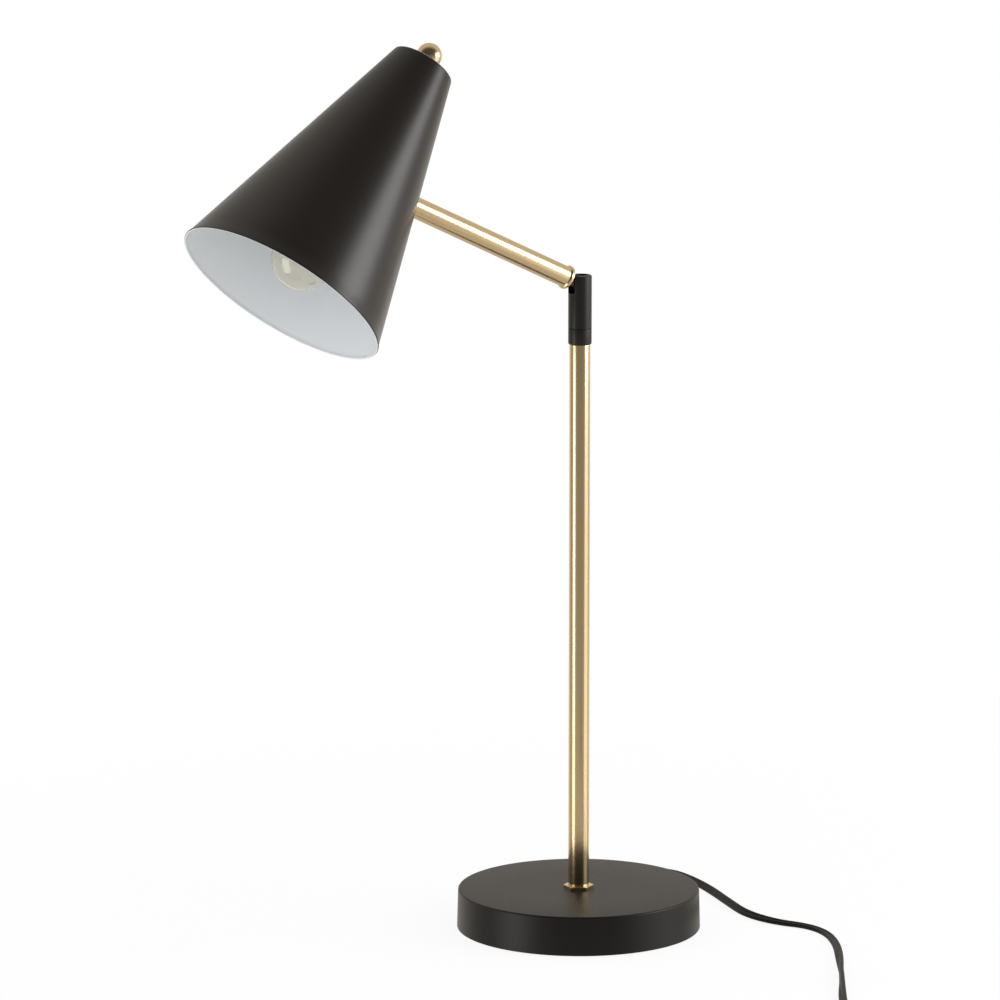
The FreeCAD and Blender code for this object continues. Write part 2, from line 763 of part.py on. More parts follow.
def make_holder():
    """Lampholder: metal cap, insulating body, brass screw shell and the centre contact."""
    cap_inside = holder_cap_radius - holder_cap_wall
    cap = cylinder(holder_cap_radius, holder_cap_mouth_height, holder_cap_back_height)
    roof = holder_cap_back_height - holder_cap_wall
    cap = cap.cut(cylinder(cap_inside, holder_cap_mouth_height - cut_overrun, roof))
    hub_top = holder_cap_back_height + holder_hub_height
    cap = cap.fuse(cylinder(holder_hub_radius, roof, hub_top))
    cap = cap.cut(cylinder(shade_rod_radius + press_gap, holder_cap_mouth_height, hub_top + cut_overrun))
    lead_hole = cylinder(lead_radius + seat_gap, holder_cap_mouth_height, holder_cap_back_height + cut_overrun)
    lead_hole = lead_hole.translated(Vector(lead_shoulder, 0, 0))
    cap = cap.cut(lead_hole)
    save("holder_cap", placed(cap.removeSplitter(), shade_frame))

    body = cylinder(holder_radius, holder_mouth_height, holder_back_height)
    body = body.cut(cylinder(holder_bore_radius, holder_mouth_height - cut_overrun, holder_floor_height))
    save("holder_body", placed(body, shade_frame))
    shell = ring(
        screw_shell_radius, screw_shell_radius - screw_shell_wall,
        screw_shell_mouth_height, holder_floor_height,
    )
    save("holder_screw_shell", placed(shell, shade_frame))
    spring_low = bulb_contact_height + seat_gap
    pad = box(
        2 * contact_spring_width, contact_spring_width, contact_spring_thickness,
        Vector(0, 0, spring_low + contact_spring_thickness / 2),
    )
    foot = box(
        contact_spring_thickness, contact_spring_width, holder_floor_height - spring_low,
        Vector(contact_spring_width - contact_spring_thickness / 2, 0, (spring_low + holder_floor_height) / 2),
    )
    save("holder_contact", placed(pad.fuse(foot).removeSplitter(), shade_frame))


def make_bulb():
    """Globe bulb: glass, screw cap, contact, inner glass stem and filament strips."""
    inner_radius = bulb_radius - bulb_glass_wall

    def globe(radius, neck, low_extra):
        def on_globe(angle):
            return Vector(radius * math.cos(angle), 0, bulb_centre_height + radius * math.sin(angle))

        reach = math.sqrt(radius ** 2 - neck ** 2)
        bend = bulb_centre_height + reach
        tip = Vector(0, 0, bulb_centre_height - radius)
        side = Vector(radius, 0, bulb_centre_height)
        shoulder = Vector(neck, 0, bend)
        top = Vector(neck, 0, bulb_neck_height + low_extra)
        edges = [
            Part.Arc(tip, on_globe(-math.pi / 4), side).toShape(),
            Part.Arc(side, on_globe(math.pi / 6), shoulder).toShape(),
            Part.LineSegment(shoulder, top).toShape(),
            Part.LineSegment(top, Vector(0, 0, top.z)).toShape(),
            Part.LineSegment(Vector(0, 0, top.z), tip).toShape(),
        ]
        return turned_edges(edges)

    glass = globe(bulb_radius, bulb_neck_radius, 0)
    glass = glass.cut(globe(inner_radius, bulb_neck_radius - bulb_glass_wall, cut_overrun))
    save("bulb_glass", placed(glass, shade_frame))
    cap = cylinder(bulb_cap_radius, bulb_neck_height, bulb_cap_height)
    cap_inside = bulb_cap_radius - bulb_cap_wall
    cap = cap.cut(cylinder(cap_inside, bulb_neck_height - cut_overrun, bulb_cap_height - bulb_cap_wall))
    save("bulb_cap", placed(cap, shade_frame))
    tip = Part.makeCone(
        bulb_contact_radius + bulb_cap_wall, bulb_contact_radius,
        bulb_contact_height - bulb_cap_height, Vector(0, 0, bulb_cap_height),
    )
    save("bulb_contact", placed(tip, shade_frame))
    stem_low = bulb_neck_height - bulb_stem_length
    flare = Part.makeCone(
        bulb_stem_radius, bulb_cap_radius - bulb_cap_wall - seat_gap,
        bulb_cap_height - bulb_cap_wall - bulb_neck_height, Vector(0, 0, bulb_neck_height),
    )
    stem = cylinder(bulb_stem_radius, stem_low, bulb_neck_height).fuse(flare)
    save("bulb_stem", placed(stem.removeSplitter(), shade_frame))
    strips = []
    for k in range(bulb_filament_count):
        angle = math.pi / 4 + 2 * math.pi * k / bulb_filament_count
        out = Vector(math.cos(angle), math.sin(angle), 0)
        high = out * (bulb_stem_radius - bulb_filament_radius) + Vector(0, 0, stem_low - bulb_filament_gap)
        low = out * bulb_filament_circle_radius + Vector(0, 0, stem_low - bulb_filament_length)
        strips.append(Part.makeCylinder(bulb_filament_radius, (low - high).Length, high, low - high))
    save("bulb_filaments", placed(together(strips), shade_frame))


def make_leads():
    """Insulated wires inside the base and stem, inside the arm, and from the arm to the holder."""
    start = along_exit(wall_at_exit - shell_wall - gland_sag - gland_flange, cord_exit_height)
    corner = along_exit(lead_bend_radius, cord_exit_height)
    middle_share = 1 - math.sqrt(0.5)
    middle = along_exit(lead_bend_radius * middle_share, cord_exit_height + lead_bend_radius * middle_share)
    rise = Vector(0, 0, cord_exit_height + lead_bend_radius)
    stem_lead_top = head_bottom + swivel_head_height + lead_stub
    edges = [
        Part.LineSegment(start, corner).toShape(),
        Part.Arc(corner, middle, rise).toShape(),
        Part.LineSegment(rise, Vector(0, 0, stem_lead_top)).toShape(),
    ]
    lead = tube_along(edges, lead_radius)
    report_tube("stem_lead", lead, edges, lead_radius, [lead_bend_radius])
    save("stem_lead", lead)

    arm_lead_start = ring_start + ring_thickness
    arm_lead_end = arm_reach + arm_nipple_reach
    save("arm_lead", placed(cylinder(lead_radius, arm_lead_start, arm_lead_end), arm_turned))

    inward = Vector(-math.cos(shade_half), 0, -math.sin(shade_half))
    entry = Vector(wall_radius, 0, arm_joint_height) + inward * arm_nipple_reach
    first = entry + inward * lead_slope
    last = Vector(lead_shoulder, 0, holder_cap_back_height)
    above = last + Vector(0, 0, lead_slope)
    bridge = Vector((first.x + above.x) / 2, 0, (first.z + above.z) / 2 + lead_slope / 2)
    edges, radii = route_edges([entry, first, bridge, above, last])
    lead = tube_along(edges, lead_radius)
    report_tube("holder_lead", lead, edges, lead_radius, radii)
    save("holder_lead", placed(lead, shade_frame))


def make_gland():
    """Rubber gland in the base's wall with a grooved boot that tapers along the cord."""
    way = along_exit(1, 0)
    inside = along_exit(wall_at_exit - shell_wall - gland_sag, cord_exit_height)
    outside = along_exit(base_bottom_radius, cord_exit_height)
    tip = along_exit(base_bottom_radius + gland_flange + boot_length, cord_exit_height)
    neck_length = (outside - inside).Length
    gland = Part.makeCylinder(gland_neck_radius, neck_length, inside, way)
    gland = gland.fuse(Part.makeCylinder(gland_inner_radius, gland_flange, inside - way * gland_flange, way))
    gland = gland.fuse(Part.makeCylinder(gland_radius, gland_flange, outside, way))
    root = outside + way * gland_flange
    boot = Part.makeCone(boot_root_radius, boot_tip_radius, boot_length, root, way)
    pitch = boot_length / (boot_groove_count + 1)
    for k in range(boot_groove_count):
        reach = pitch * (k + 1)
        radius_here = boot_root_radius + (boot_tip_radius - boot_root_radius) * reach / boot_length
        place = root + way * (reach - boot_groove_width / 2)
        groove = Part.makeCylinder(2 * boot_root_radius, boot_groove_width, place, way)
        core = Part.makeCylinder(radius_here - boot_groove_depth, boot_groove_width, place, way)
        boot = boot.cut(groove.cut(core))
    gland = gland.fuse(boot).removeSplitter()
    save("cord_gland", gland)
    print("cord leaves the boot at", [round(v, 1) for v in tip])


def switch_frame():
    """Placement of the switch: X runs on along the cord, and Z is up from the table."""
    end = Vector(*lead_route[-1])
    before = Vector(*lead_route[-2])
    way = Vector(end.x - before.x, end.y - before.y, 0).normalize()
    return frame_from(Vector(end.x, end.y, 0), way, UP)


def rounded_slab(low, high, inset):
    """Slab with the switch's plan: a rectangle with round corners."""
    length = switch_length - 2 * switch_neck_length - 2 * inset
    width = switch_width - 2 * inset
    slab = box(length, width, high - low, Vector(switch_length / 2, 0, (low + high) / 2))
    upright = [edge for edge in slab.Edges if edge.BoundBox.ZLength > (high - low) / 2]
    return slab.makeFillet(switch_corner_radius - inset, upright)


def make_switch():
    """In-line rocker switch: two half shells, rocker, contact strips and screws."""
    here = switch_frame()
    middle = switch_length / 2
    axis_height = lead_route[-1][2]
    screw_reach = switch_length * switch_screw_place_share
    screw_places = [middle - screw_reach, middle + screw_reach]
    necks = Part.makeCylinder(switch_neck_radius, switch_length, Vector(0, 0, axis_height), Vector(1, 0, 0))
    whole = rounded_slab(0, switch_height, 0)
    rims = [
        edge for edge in whole.Edges
        if edge.BoundBox.ZLength < seat_gap and abs(edge.BoundBox.ZMin - switch_height) < seat_gap
    ]
    whole = whole.makeFillet(switch_edge_radius, rims)
    rims = [
        edge for edge in whole.Edges
        if edge.BoundBox.ZLength < seat_gap and abs(edge.BoundBox.ZMin) < seat_gap
    ]
    whole = whole.makeChamfer(switch_edge_radius / 2, rims)
    whole = whole.fuse(necks)
    hollow = rounded_slab(switch_wall, switch_height - switch_wall, switch_wall)
    for x in screw_places:
        post = cylinder(switch_screw_head_radius + switch_wall, 0, switch_height)
        hollow = hollow.cut(post.translated(Vector(x, 0, 0)))
    window_length = rocker_length + 2 * rocker_gap
    window_width = rocker_width + 2 * rocker_gap
    ear = 2 * rocker_pin_radius + 2 * rocker_pin_seat
    for side in (-1, 1):
        centre = Vector(
            middle, side * (window_width + rocker_pin_seat + switch_wall) / 2,
            (switch_split_height + switch_height) / 2,
        )
        ear_box = box(ear, rocker_pin_seat + switch_wall, switch_height - switch_split_height, centre)
        hollow = hollow.cut(ear_box)
    window = box(window_length, window_width, switch_height, Vector(middle, 0, switch_height))
    pivot_z = switch_height - rocker_depth + rocker_pin_seat
    pin_seats = Part.makeCylinder(
        rocker_pin_radius + running_gap, window_width + 2 * rocker_pin_seat,
        Vector(middle, -window_width / 2 - rocker_pin_seat, pivot_z), Vector(0, 1, 0),
    )
    body = whole.cut(hollow).cut(window).cut(pin_seats)
    screws = []
    for x in screw_places:
        place = Vector(x, 0, 0)
        shank = cylinder(switch_screw_radius, switch_screw_head_height, switch_height - 2 * switch_wall)
        head = cylinder(switch_screw_head_radius, switch_screw_head_height / 2, switch_screw_head_height)
        groove = box(
            4 * switch_screw_head_radius, screw_slot_width, screw_slot_depth,
            Vector(0, 0, (switch_screw_head_height + screw_slot_depth) / 2),
        )
        screws.append(shank.fuse(head).cut(groove).translated(place))
        hole = cylinder(switch_screw_radius + press_gap, 0, switch_height - 2 * switch_wall + seat_gap)
        sink = cylinder(switch_screw_head_radius + press_gap, -cut_overrun, switch_screw_head_height)
        body = body.cut(hole.fuse(sink).translated(place))
    far = 2 * switch_length
    lower_half = box(far, far, switch_split_height, Vector(0, 0, switch_split_height / 2))
    upper_half = box(far, far, far, Vector(0, 0, switch_split_height + far / 2))
    save("switch_base", placed(body.common(lower_half), here))
    save("switch_cover", placed(body.common(upper_half), here))
    save("switch_screws", placed(together(screws), here))

    rocker = box(rocker_length, rocker_width, rocker_depth, Vector(middle, 0, switch_height - rocker_depth / 2))
    lift = rocker_crown_drop
    half = rocker_length / 2
    crown_radius = (half ** 2 + lift ** 2) / (2 * lift)
    crown = Part.makeCylinder(
        crown_radius, 2 * rocker_width,
        Vector(middle, -rocker_width, switch_height + crown_radius - lift), Vector(0, 1, 0),
    )
    pins = Part.makeCylinder(
        rocker_pin_radius, window_width + 2 * rocker_pin_seat - 2 * running_gap,
        Vector(middle, -window_width / 2 - rocker_pin_seat + running_gap, pivot_z), Vector(0, 1, 0),
    )
    rocker = rocker.cut(crown).fuse(pins).removeSplitter()
    rocker.rotate(Vector(middle, 0, pivot_z), Vector(0, 1, 0), rocker_tilt_deg)
    save("switch_rocker", placed(rocker, here))
    print("rocker pivot", [round(v, 3) for v in here.multVec(Vector(middle, 0, pivot_z))])
    print("rocker axis", [round(v, 4) for v in here.Rotation.multVec(Vector(0, 1, 0))])

    strips = []
    for side in (-1, 1):
        centre = Vector(middle, side * contact_strip_spread, switch_wall + contact_strip_thickness / 2)
        strips.append(box(contact_strip_length, contact_strip_width, contact_strip_thickness, centre))
    save("switch_contacts", placed(together(strips), here))
    return here


def coil_point(angle, centre, start_angle, low):
    """Centre line of the coil: spirals in, climbs a layer in the half turn where it reverses, spirals out."""
    inward = 2 * math.pi * coil_layer_turns
    rate = coil_pitch / (2 * math.pi)
    inner = coil_outer_radius - rate * inward
    if angle <= inward:
        radius = coil_outer_radius - rate * angle
        height = low
    elif angle <= inward + math.pi:
        past = angle - inward
        share = past / math.pi
        radius = inner - rate * (past - past ** 2 / math.pi)
        height = low + coil_layer_rise * (3 * share ** 2 - 2 * share ** 3)
    else:
        radius = inner + rate * (angle - inward - math.pi)
        height = low + coil_layer_rise
    turn = start_angle - angle
    return centre + Vector(radius * math.cos(turn), radius * math.sin(turn), height)


def biarc(first, way_first, last, way_last):
    """Two arcs that leave one point and reach another along the given directions."""
    chord = last - first
    sum_ways = way_first + way_last
    a = 2 * (1 - way_first.dot(way_last))
    b = chord.dot(sum_ways)
    c = chord.dot(chord)
    if a < small_turn ** 2:
        reach = c / (4 * chord.dot(way_last))
    else:
        reach = (-b + math.sqrt(b * b + a * c)) / a
    knot_first = first + way_first * reach
    knot_last = last - way_last * reach
    joint = (knot_first + knot_last) * 0.5
    way_joint = (knot_last - knot_first).normalize()
    return [tangent_arc(first, way_first, joint), tangent_arc(joint, way_joint, last)]


def tangent_arc(start, way, end):
    """Arc from start, leaving along way, to end."""
    chord = end - start
    length = chord.Length
    along = chord.dot(way)
    side = (chord - way * along).normalize()
    turn = 2 * math.acos(max(-1.0, min(1.0, along / length)))
    radius = length / (2 * math.sin(turn / 2))
    middle = start + way * (radius * math.sin(turn / 2)) + side * (radius * (1 - math.cos(turn / 2)))
    return Part.Arc(start, middle, end).toShape()


def least_gap(edges, radius):
    """Least clear distance between turns, on points some diameters or more apart along the edges."""
    points = []
    reach = 0.0
    for edge in edges:
        count = max(2, int(edge.Length / radius))
        for k in range(count):
            share = k / count
            value = edge.FirstParameter + share * (edge.LastParameter - edge.FirstParameter)
            points.append((reach + share * edge.Length, edge.valueAt(value)))
        reach += edge.Length
    least = reach
    for i, (s_first, p_first) in enumerate(points):
        for s_last, p_last in points[i + 1:]:
            if s_last - s_first > coil_apart_diameters * 2 * radius:
                least = min(least, (p_last - p_first).Length)
    return least - 2 * radius


def make_cord(here):
    """Free cord from the boot to the switch, the link to the coil, the coil, its tie and the plug's end."""
    boot_end = base_bottom_radius + gland_flange + boot_length
    way_out = [along_exit(boot_end, cord_exit_height), along_exit(boot_end + lead_out, cord_exit_height)]
    edges, radii = route_edges(way_out + lead_route)
    tube = tube_along(edges, cord_radius)
    total = report_tube("cord_lead", tube, edges, cord_radius, radii)
    save("cord_lead", tube)

    axis_height = lead_route[-1][2]
    way = here.Rotation.multVec(Vector(1, 0, 0))
    left = here.Rotation.multVec(Vector(0, 1, 0))
    switch_end = here.multVec(Vector(switch_length, 0, axis_height))
    start_angle = math.atan2(left.y, left.x)
    coil_low = cord_radius + tie_thickness + tie_gap
    centre = here.multVec(Vector(switch_length + link_length + 2 * cord_radius, -coil_outer_radius, 0))

    def line(angle):
        return coil_point(angle, centre, start_angle, coil_low)

    def heading(angle):
        step = small_turn
        return (line(angle + step) - line(angle - step)).normalize()

    lead_in = 2 * cord_radius
    whole_turn = 2 * math.pi * (2 * coil_layer_turns) + math.pi
    coil_start = line(0) - heading(0) * lead_in
    coil_end = line(whole_turn) + heading(whole_turn) * lead_in
    link_points = [
        switch_end,
        switch_end + way * link_run,
        coil_start - heading(0) * link_run,
        coil_start,
    ]
    edges, radii = route_edges(link_points)
    tube = tube_along(edges, cord_radius)
    total += report_tube("cord_link", tube, edges, cord_radius, radii)
    save("cord_link", tube)

    edges = [Part.LineSegment(coil_start, line(0)).toShape()]
    stations = int(round(whole_turn / (math.pi / 2)))
    for k in range(stations):
        low, high = k * math.pi / 2, (k + 1) * math.pi / 2
        edges += biarc(line(low), heading(low), line(high), heading(high))
    edges.append(Part.LineSegment(line(whole_turn), coil_end).toShape())
    tube = tube_along(edges, cord_radius)
    radii = [coil_outer_radius, coil_outer_radius - coil_pitch * coil_layer_turns]
    total += report_tube("cord_coil", tube, edges, cord_radius, radii)
    print("coil least gap to itself", round(least_gap(edges, cord_radius), 3))
    save("cord_coil", tube)

    leave = heading(whole_turn)
    leave = Vector(leave.x, leave.y, 0).normalize()
    fall = coil_end.z - plug_body_height / 2
    end_points = [
        coil_end + leave * reach - UP * (fall * share) for reach, share in zip(end_reaches, end_fall_shares)
    ]
    plug_entry = end_points[-1]
    edges, radii = route_edges(end_points)
    tube = tube_along(edges, cord_radius)
    total += report_tube("cord_end", tube, edges, cord_radius, radii)
    save("cord_end", tube)
    print("cord length from boot to plug", round(total + switch_length, 1))

    tie_angle = whole_turn - math.pi / 2
    tie_turn = start_angle - tie_angle
    inner = coil_outer_radius - coil_pitch * (coil_layer_turns + tie_turn_share)
    across = coil_outer_radius - inner + 2 * (cord_radius + tie_gap)
    rise = coil_layer_rise + 2 * (cord_radius + tie_gap)
    middle = Vector((coil_outer_radius + inner) / 2, 0, tie_thickness + rise / 2)
    band = box(across + 2 * tie_thickness, tie_width, rise + 2 * tie_thickness, middle)
    band = band.cut(box(across, 2 * tie_width, rise, middle))
    band.rotate(ORIGIN, UP, math.degrees(tie_turn))
    save("cord_tie", band.translated(centre))
    return frame_from(plug_entry, leave, UP)


def make_plug(here):
    """Two-blade plug: moulded body with a narrow neck, and a pair of flat blades."""
    start = plug_neck_length
    end = plug_neck_length + plug_body_length
    shoulder = start + plug_body_length * plug_nose_share
    narrow = plug_body_width * plug_nose_share / 2
    wide = plug_body_width / 2
    low = -plug_body_height / 2
    outline = [
        (start, -narrow), (shoulder, -wide), (end, -wide),
        (end, wide), (shoulder, wide), (start, narrow),
    ]
    points = [Vector(x, y, low) for x, y in outline]
    body = Part.Face(Part.makePolygon(points + [points[0]])).extrude(Vector(0, 0, plug_body_height))
    body = body.makeFillet(plug_edge_radius, body.Edges)
    neck = Part.makeCone(cord_radius + boot_groove_depth, plug_neck_radius, start, ORIGIN, Vector(1, 0, 0))
    body = body.fuse(neck)
    body = body.fuse(Part.makeCylinder(
        plug_neck_radius, plug_body_length / 2, Vector(start, 0, 0), Vector(1, 0, 0),
    ))
    blades = []
    for side in (-1, 1):
        length = blade_length + blade_root
        centre = Vector(end - blade_root + length / 2, side * blade_spread / 2, 0)
        blade = box(length, blade_thickness, blade_height, centre)
        corners = [
            edge for edge in blade.Edges
            if edge.BoundBox.YLength > blade_thickness / 2 and edge.BoundBox.XMin > end
        ]
        blade = blade.makeChamfer(blade_thickness, corners)
        body = body.cut(box(length, blade_thickness, blade_height, centre))
        hole = Part.makeCylinder(
            blade_thickness, 4 * blade_thickness,
            Vector(end + blade_length - 2 * blade_root, centre.y - 2 * blade_thickness, 0), Vector(0, 1, 0),
        )
        blades.append(blade.cut(hole))
    save("plug_body", placed(body.removeSplitter(), here))
    print("plug face", [round(v, 3) for v in here.multVec(Vector(end, 0, 0))])
    print("plug way", [round(v, 4) for v in here.Rotation.multVec(Vector(1, 0, 0))])
    save("plug_blades", placed(together(blades), here))


make_base()
make_stem()
make_swivel()
make_elbow()
make_arm()
make_shade()
make_holder()
make_bulb()
make_leads()
make_gland()
switch_place = make_switch()
plug_place = make_cord(switch_place)
make_plug(plug_place)
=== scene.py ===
import json
import math

import bmesh
import bpy
import numpy as np
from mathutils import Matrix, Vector


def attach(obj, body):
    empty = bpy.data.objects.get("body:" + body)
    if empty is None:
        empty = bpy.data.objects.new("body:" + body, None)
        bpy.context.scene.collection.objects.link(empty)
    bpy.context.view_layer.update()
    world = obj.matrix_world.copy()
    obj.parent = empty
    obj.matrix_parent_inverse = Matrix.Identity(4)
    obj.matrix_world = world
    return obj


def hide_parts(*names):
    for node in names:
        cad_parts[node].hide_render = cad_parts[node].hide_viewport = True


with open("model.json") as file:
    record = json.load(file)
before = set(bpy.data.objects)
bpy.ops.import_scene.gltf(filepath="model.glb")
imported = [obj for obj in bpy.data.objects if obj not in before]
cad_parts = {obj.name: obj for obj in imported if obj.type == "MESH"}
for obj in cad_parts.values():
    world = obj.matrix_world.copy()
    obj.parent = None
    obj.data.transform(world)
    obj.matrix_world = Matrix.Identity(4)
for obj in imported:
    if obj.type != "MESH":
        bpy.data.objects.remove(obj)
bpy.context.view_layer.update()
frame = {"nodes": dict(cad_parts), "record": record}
nodes = frame["nodes"]
print("frame loaded,", len(nodes), "nodes")

mm = 0.001
upWay = np.array([0.0, 0.0, 1.0])


def linearColour(hexCode, alpha=1.0):
    # sRGB to linear: c / 12.92 up to 0.04045, else ((c + 0.055) / 1.055) ^ 2.4
    parts = np.array([int(hexCode[i:i + 2], 16) for i in (1, 3, 5)]) / 255
    parts = np.where(parts <= 0.04045, parts / 12.92, ((parts + 0.055) / 1.055) ** 2.4)
    return (*parts.tolist(), alpha)


def addNode(tree, kind, settings=None, inputs=None):
    node = tree.nodes.new(kind)
    for key, value in (settings or {}).items():
        setattr(node, key, value)
    for key, value in (inputs or {}).items():
        if isinstance(value, bpy.types.NodeSocket):
            tree.links.new(value, node.inputs[key])
        else:
            node.inputs[key].default_value = value
    return node


def unit(vector):
    vector = np.asarray(vector, float)
    return vector / np.linalg.norm(vector)


# Where things are, from the CAD: elbow pivot, arm direction and the shade's own axes
lampPlaces = {
    "pivotHeight": 431.2, "armRise": 25.34, "armReach": 143.7,
    "mouthRadius": 70.5, "topRadius": 21.0, "shadeHeight": 180.4,
    "armJointHeight": 102.4, "shadeTwist": 7.35,
}
armRise = math.radians(lampPlaces["armRise"])
pivot = np.array([0, 0, lampPlaces["pivotHeight"]]) * mm
armWay = np.array([-math.cos(armRise), 0, math.sin(armRise)])
armOver = np.array([math.sin(armRise), 0, math.cos(armRise)])
shadeHalf = math.atan(
    (lampPlaces["mouthRadius"] - lampPlaces["topRadius"]) / lampPlaces["shadeHeight"]
)
twist = math.radians(lampPlaces["shadeTwist"])
wallUp = armOver * math.cos(twist) + np.cross(armWay, armOver) * math.sin(twist)
shadeX = -armWay * math.cos(shadeHalf) - wallUp * math.sin(shadeHalf)
shadeZ = wallUp * math.cos(shadeHalf) - armWay * math.sin(shadeHalf)
wallRadius = lampPlaces["mouthRadius"] - lampPlaces["armJointHeight"] * math.tan(shadeHalf)
shadeOrigin = (
    pivot + armWay * lampPlaces["armReach"] * mm
    - shadeX * wallRadius * mm - shadeZ * lampPlaces["armJointHeight"] * mm
)
stemAxes = (np.zeros(3), np.array([1.0, 0, 0]), upWay)
armAxes = (pivot, armOver, armWay)
shadeAxes = (shadeOrigin, shadeX, shadeZ)


# Every finish: two close tones that drift over driftMm, roughness that wanders with a grain of
# grainMm, and that grain raised by liftMm. Stretch makes the grain into streaks.
finishes = {
    # satin powder enamel on spun steel: very dark warm brown, fine orange peel
    "baseEnamel": {
        "tones": ("#0F0C09", "#130F0C"), "driftMm": 60, "grainMm": 1.1, "liftMm": 0.004,
        "rough": (0.38, 0.45), "specular": 0.33,
    },
    # satin lacquer sprayed on the spun shade, outside
    "shadeLacquer": {
        "tones": ("#17130F", "#1C1713"), "driftMm": 70, "grainMm": 1.3, "liftMm": 0.004,
        "rough": (0.3, 0.36), "specular": 0.45,
    },
    # satin white lacquer inside the shade, cool and even
    "shadeWhite": {
        "tones": ("#E3E6E8", "#DDE1E4"), "driftMm": 60, "grainMm": 1.3, "liftMm": 0.006,
        "rough": (0.42, 0.52), "specular": 0.4,
    },
    # blackened turned steel with a satin clear coat
    "knuckleBlack": {
        "tones": ("#130F0B", "#16120E"), "driftMm": 12, "grainMm": 0.7, "liftMm": 0.003,
        "rough": (0.36, 0.44), "specular": 0.4,
    },
    # sand-cast iron, unpainted: rough and dark grey
    "castIron": {
        "tones": ("#3A3B3C", "#2B2C2E"), "driftMm": 9, "grainMm": 1.4, "liftMm": 0.12,
        "rough": (0.6, 0.8), "metallic": 0.6,
    },
    # bright zinc plating on small steel parts
    "zincSteel": {
        "tones": ("#C2C4C6", "#AEB1B5"), "driftMm": 5, "grainMm": 0.5, "liftMm": 0.003,
        "rough": (0.26, 0.4), "metallic": 1.0,
    },
    # turned brass with fine tool rings, unlacquered
    "turnedBrass": {
        "tones": ("#C9A86A", "#B9975A"), "driftMm": 8, "grainMm": 0.4, "liftMm": 0.004,
        "rough": (0.28, 0.4), "metallic": 1.0,
    },
    # black acetal washers
    "blackAcetal": {
        "tones": ("#141414", "#1A1A1A"), "driftMm": 6, "grainMm": 0.5, "liftMm": 0.004,
        "rough": (0.42, 0.55),
    },
    # black closed-cell foam under the base
    "padFoam": {
        "tones": ("#1A1A1A", "#232323"), "driftMm": 4, "grainMm": 0.8, "liftMm": 0.08,
        "rough": (0.8, 0.95), "specular": 0.3,
    },
    # flexible black vinyl of the cord, boot and plug: satin, with a faint pebble
    "cordVinyl": {
        "tones": ("#12110F", "#171613"), "driftMm": 25, "grainMm": 0.9, "liftMm": 0.01,
        "rough": (0.42, 0.52), "specular": 0.2,
    },
    # clear vinyl over copper strands, seen as warm gold
    "leadVinyl": {
        "tones": ("#B58B5A", "#A87C4B"), "driftMm": 3, "grainMm": 0.6, "liftMm": 0.03,
        "rough": (0.25, 0.35), "metallic": 0.3,
    },
    # moulded thermoplastic with a spark-eroded texture
    "switchPlastic": {
        "tones": ("#141414", "#191919"), "driftMm": 15, "grainMm": 0.5, "liftMm": 0.02,
        "rough": (0.42, 0.55),
    },
    # polished moulded rocker
    "rockerPlastic": {
        "tones": ("#161616", "#1A1A1A"), "driftMm": 10, "grainMm": 1.0, "liftMm": 0.003,
        "rough": (0.16, 0.24),
    },
    # dark brown phenolic moulding
    "phenolic": {
        "tones": ("#1E1612", "#261C16"), "driftMm": 6, "grainMm": 0.8, "liftMm": 0.006,
        "rough": (0.22, 0.34),
    },
    # nickel-plated screw cap of the bulb
    "nickel": {
        "tones": ("#CBC7BE", "#B9B5AC"), "driftMm": 4, "grainMm": 0.5, "liftMm": 0.004,
        "rough": (0.18, 0.3), "metallic": 1.0,
    },
    # yellow phosphor over the light strips
    "phosphor": {
        "tones": ("#E8B33C", "#D99A2B"), "driftMm": 1.5, "grainMm": 0.4, "liftMm": 0.02,
        "rough": (0.45, 0.6),
    },
    # black plastic-coated wire of the tie
    "tiePlastic": {
        "tones": ("#1B1B1B", "#222222"), "driftMm": 5, "grainMm": 0.6, "liftMm": 0.01,
        "rough": (0.35, 0.5),
    },
}


def surfaceFinish(name):
    finish = finishes[name]
    material = bpy.data.materials.new(name)
    material.use_nodes = True
    tree = material.node_tree
    tree.nodes.clear()
    place = addNode(tree, "ShaderNodeTexCoord").outputs["Object"]
    drift = addNode(tree, "ShaderNodeTexNoise", None, {
        "Vector": place, "Scale": 1000 / finish["driftMm"], "Detail": 3.0,
    }).outputs["Fac"]
    grain = addNode(tree, "ShaderNodeTexNoise", None, {
        "Vector": place, "Scale": 1000 / finish["grainMm"], "Detail": 2.0,
    }).outputs["Fac"]
    tone = addNode(tree, "ShaderNodeMix", {"data_type": "RGBA"}, {
        0: drift, 6: linearColour(finish["tones"][0]), 7: linearColour(finish["tones"][1]),
    }).outputs[2]
    low, high = finish["rough"]
    rough = addNode(tree, "ShaderNodeMapRange", None, {
        "Value": grain, "From Min": 0.3, "From Max": 0.7, "To Min": low, "To Max": high,
    }).outputs["Result"]
    raised = addNode(tree, "ShaderNodeBump", None, {
        "Height": grain, "Distance": finish["liftMm"] * mm, "Strength": 1.0,
    }).outputs["Normal"]
    shader = addNode(tree, "ShaderNodeBsdfPrincipled", None, {
        "Base Color": tone, "Roughness": rough, "Normal": raised,
        "Metallic": finish.get("metallic", 0.0), "Specular IOR Level": finish.get("specular", 0.5),
    })
    addNode(tree, "ShaderNodeOutputMaterial", None, {"Surface": shader.outputs[0]})
    return material


# Light brass, brushed round the tube and lacquered: hair lines 0.15 mm apart, drawn 0.6 mm apart
# so that they show, with long highlights along the tube
brassLook = {
    "tones": ("#E6D0A8", "#DEC69B"), "hairMm": 0.6, "roundMm": 40, "liftMm": 0.0006,
    "rough": (0.2, 0.26), "driftMm": 45,
}


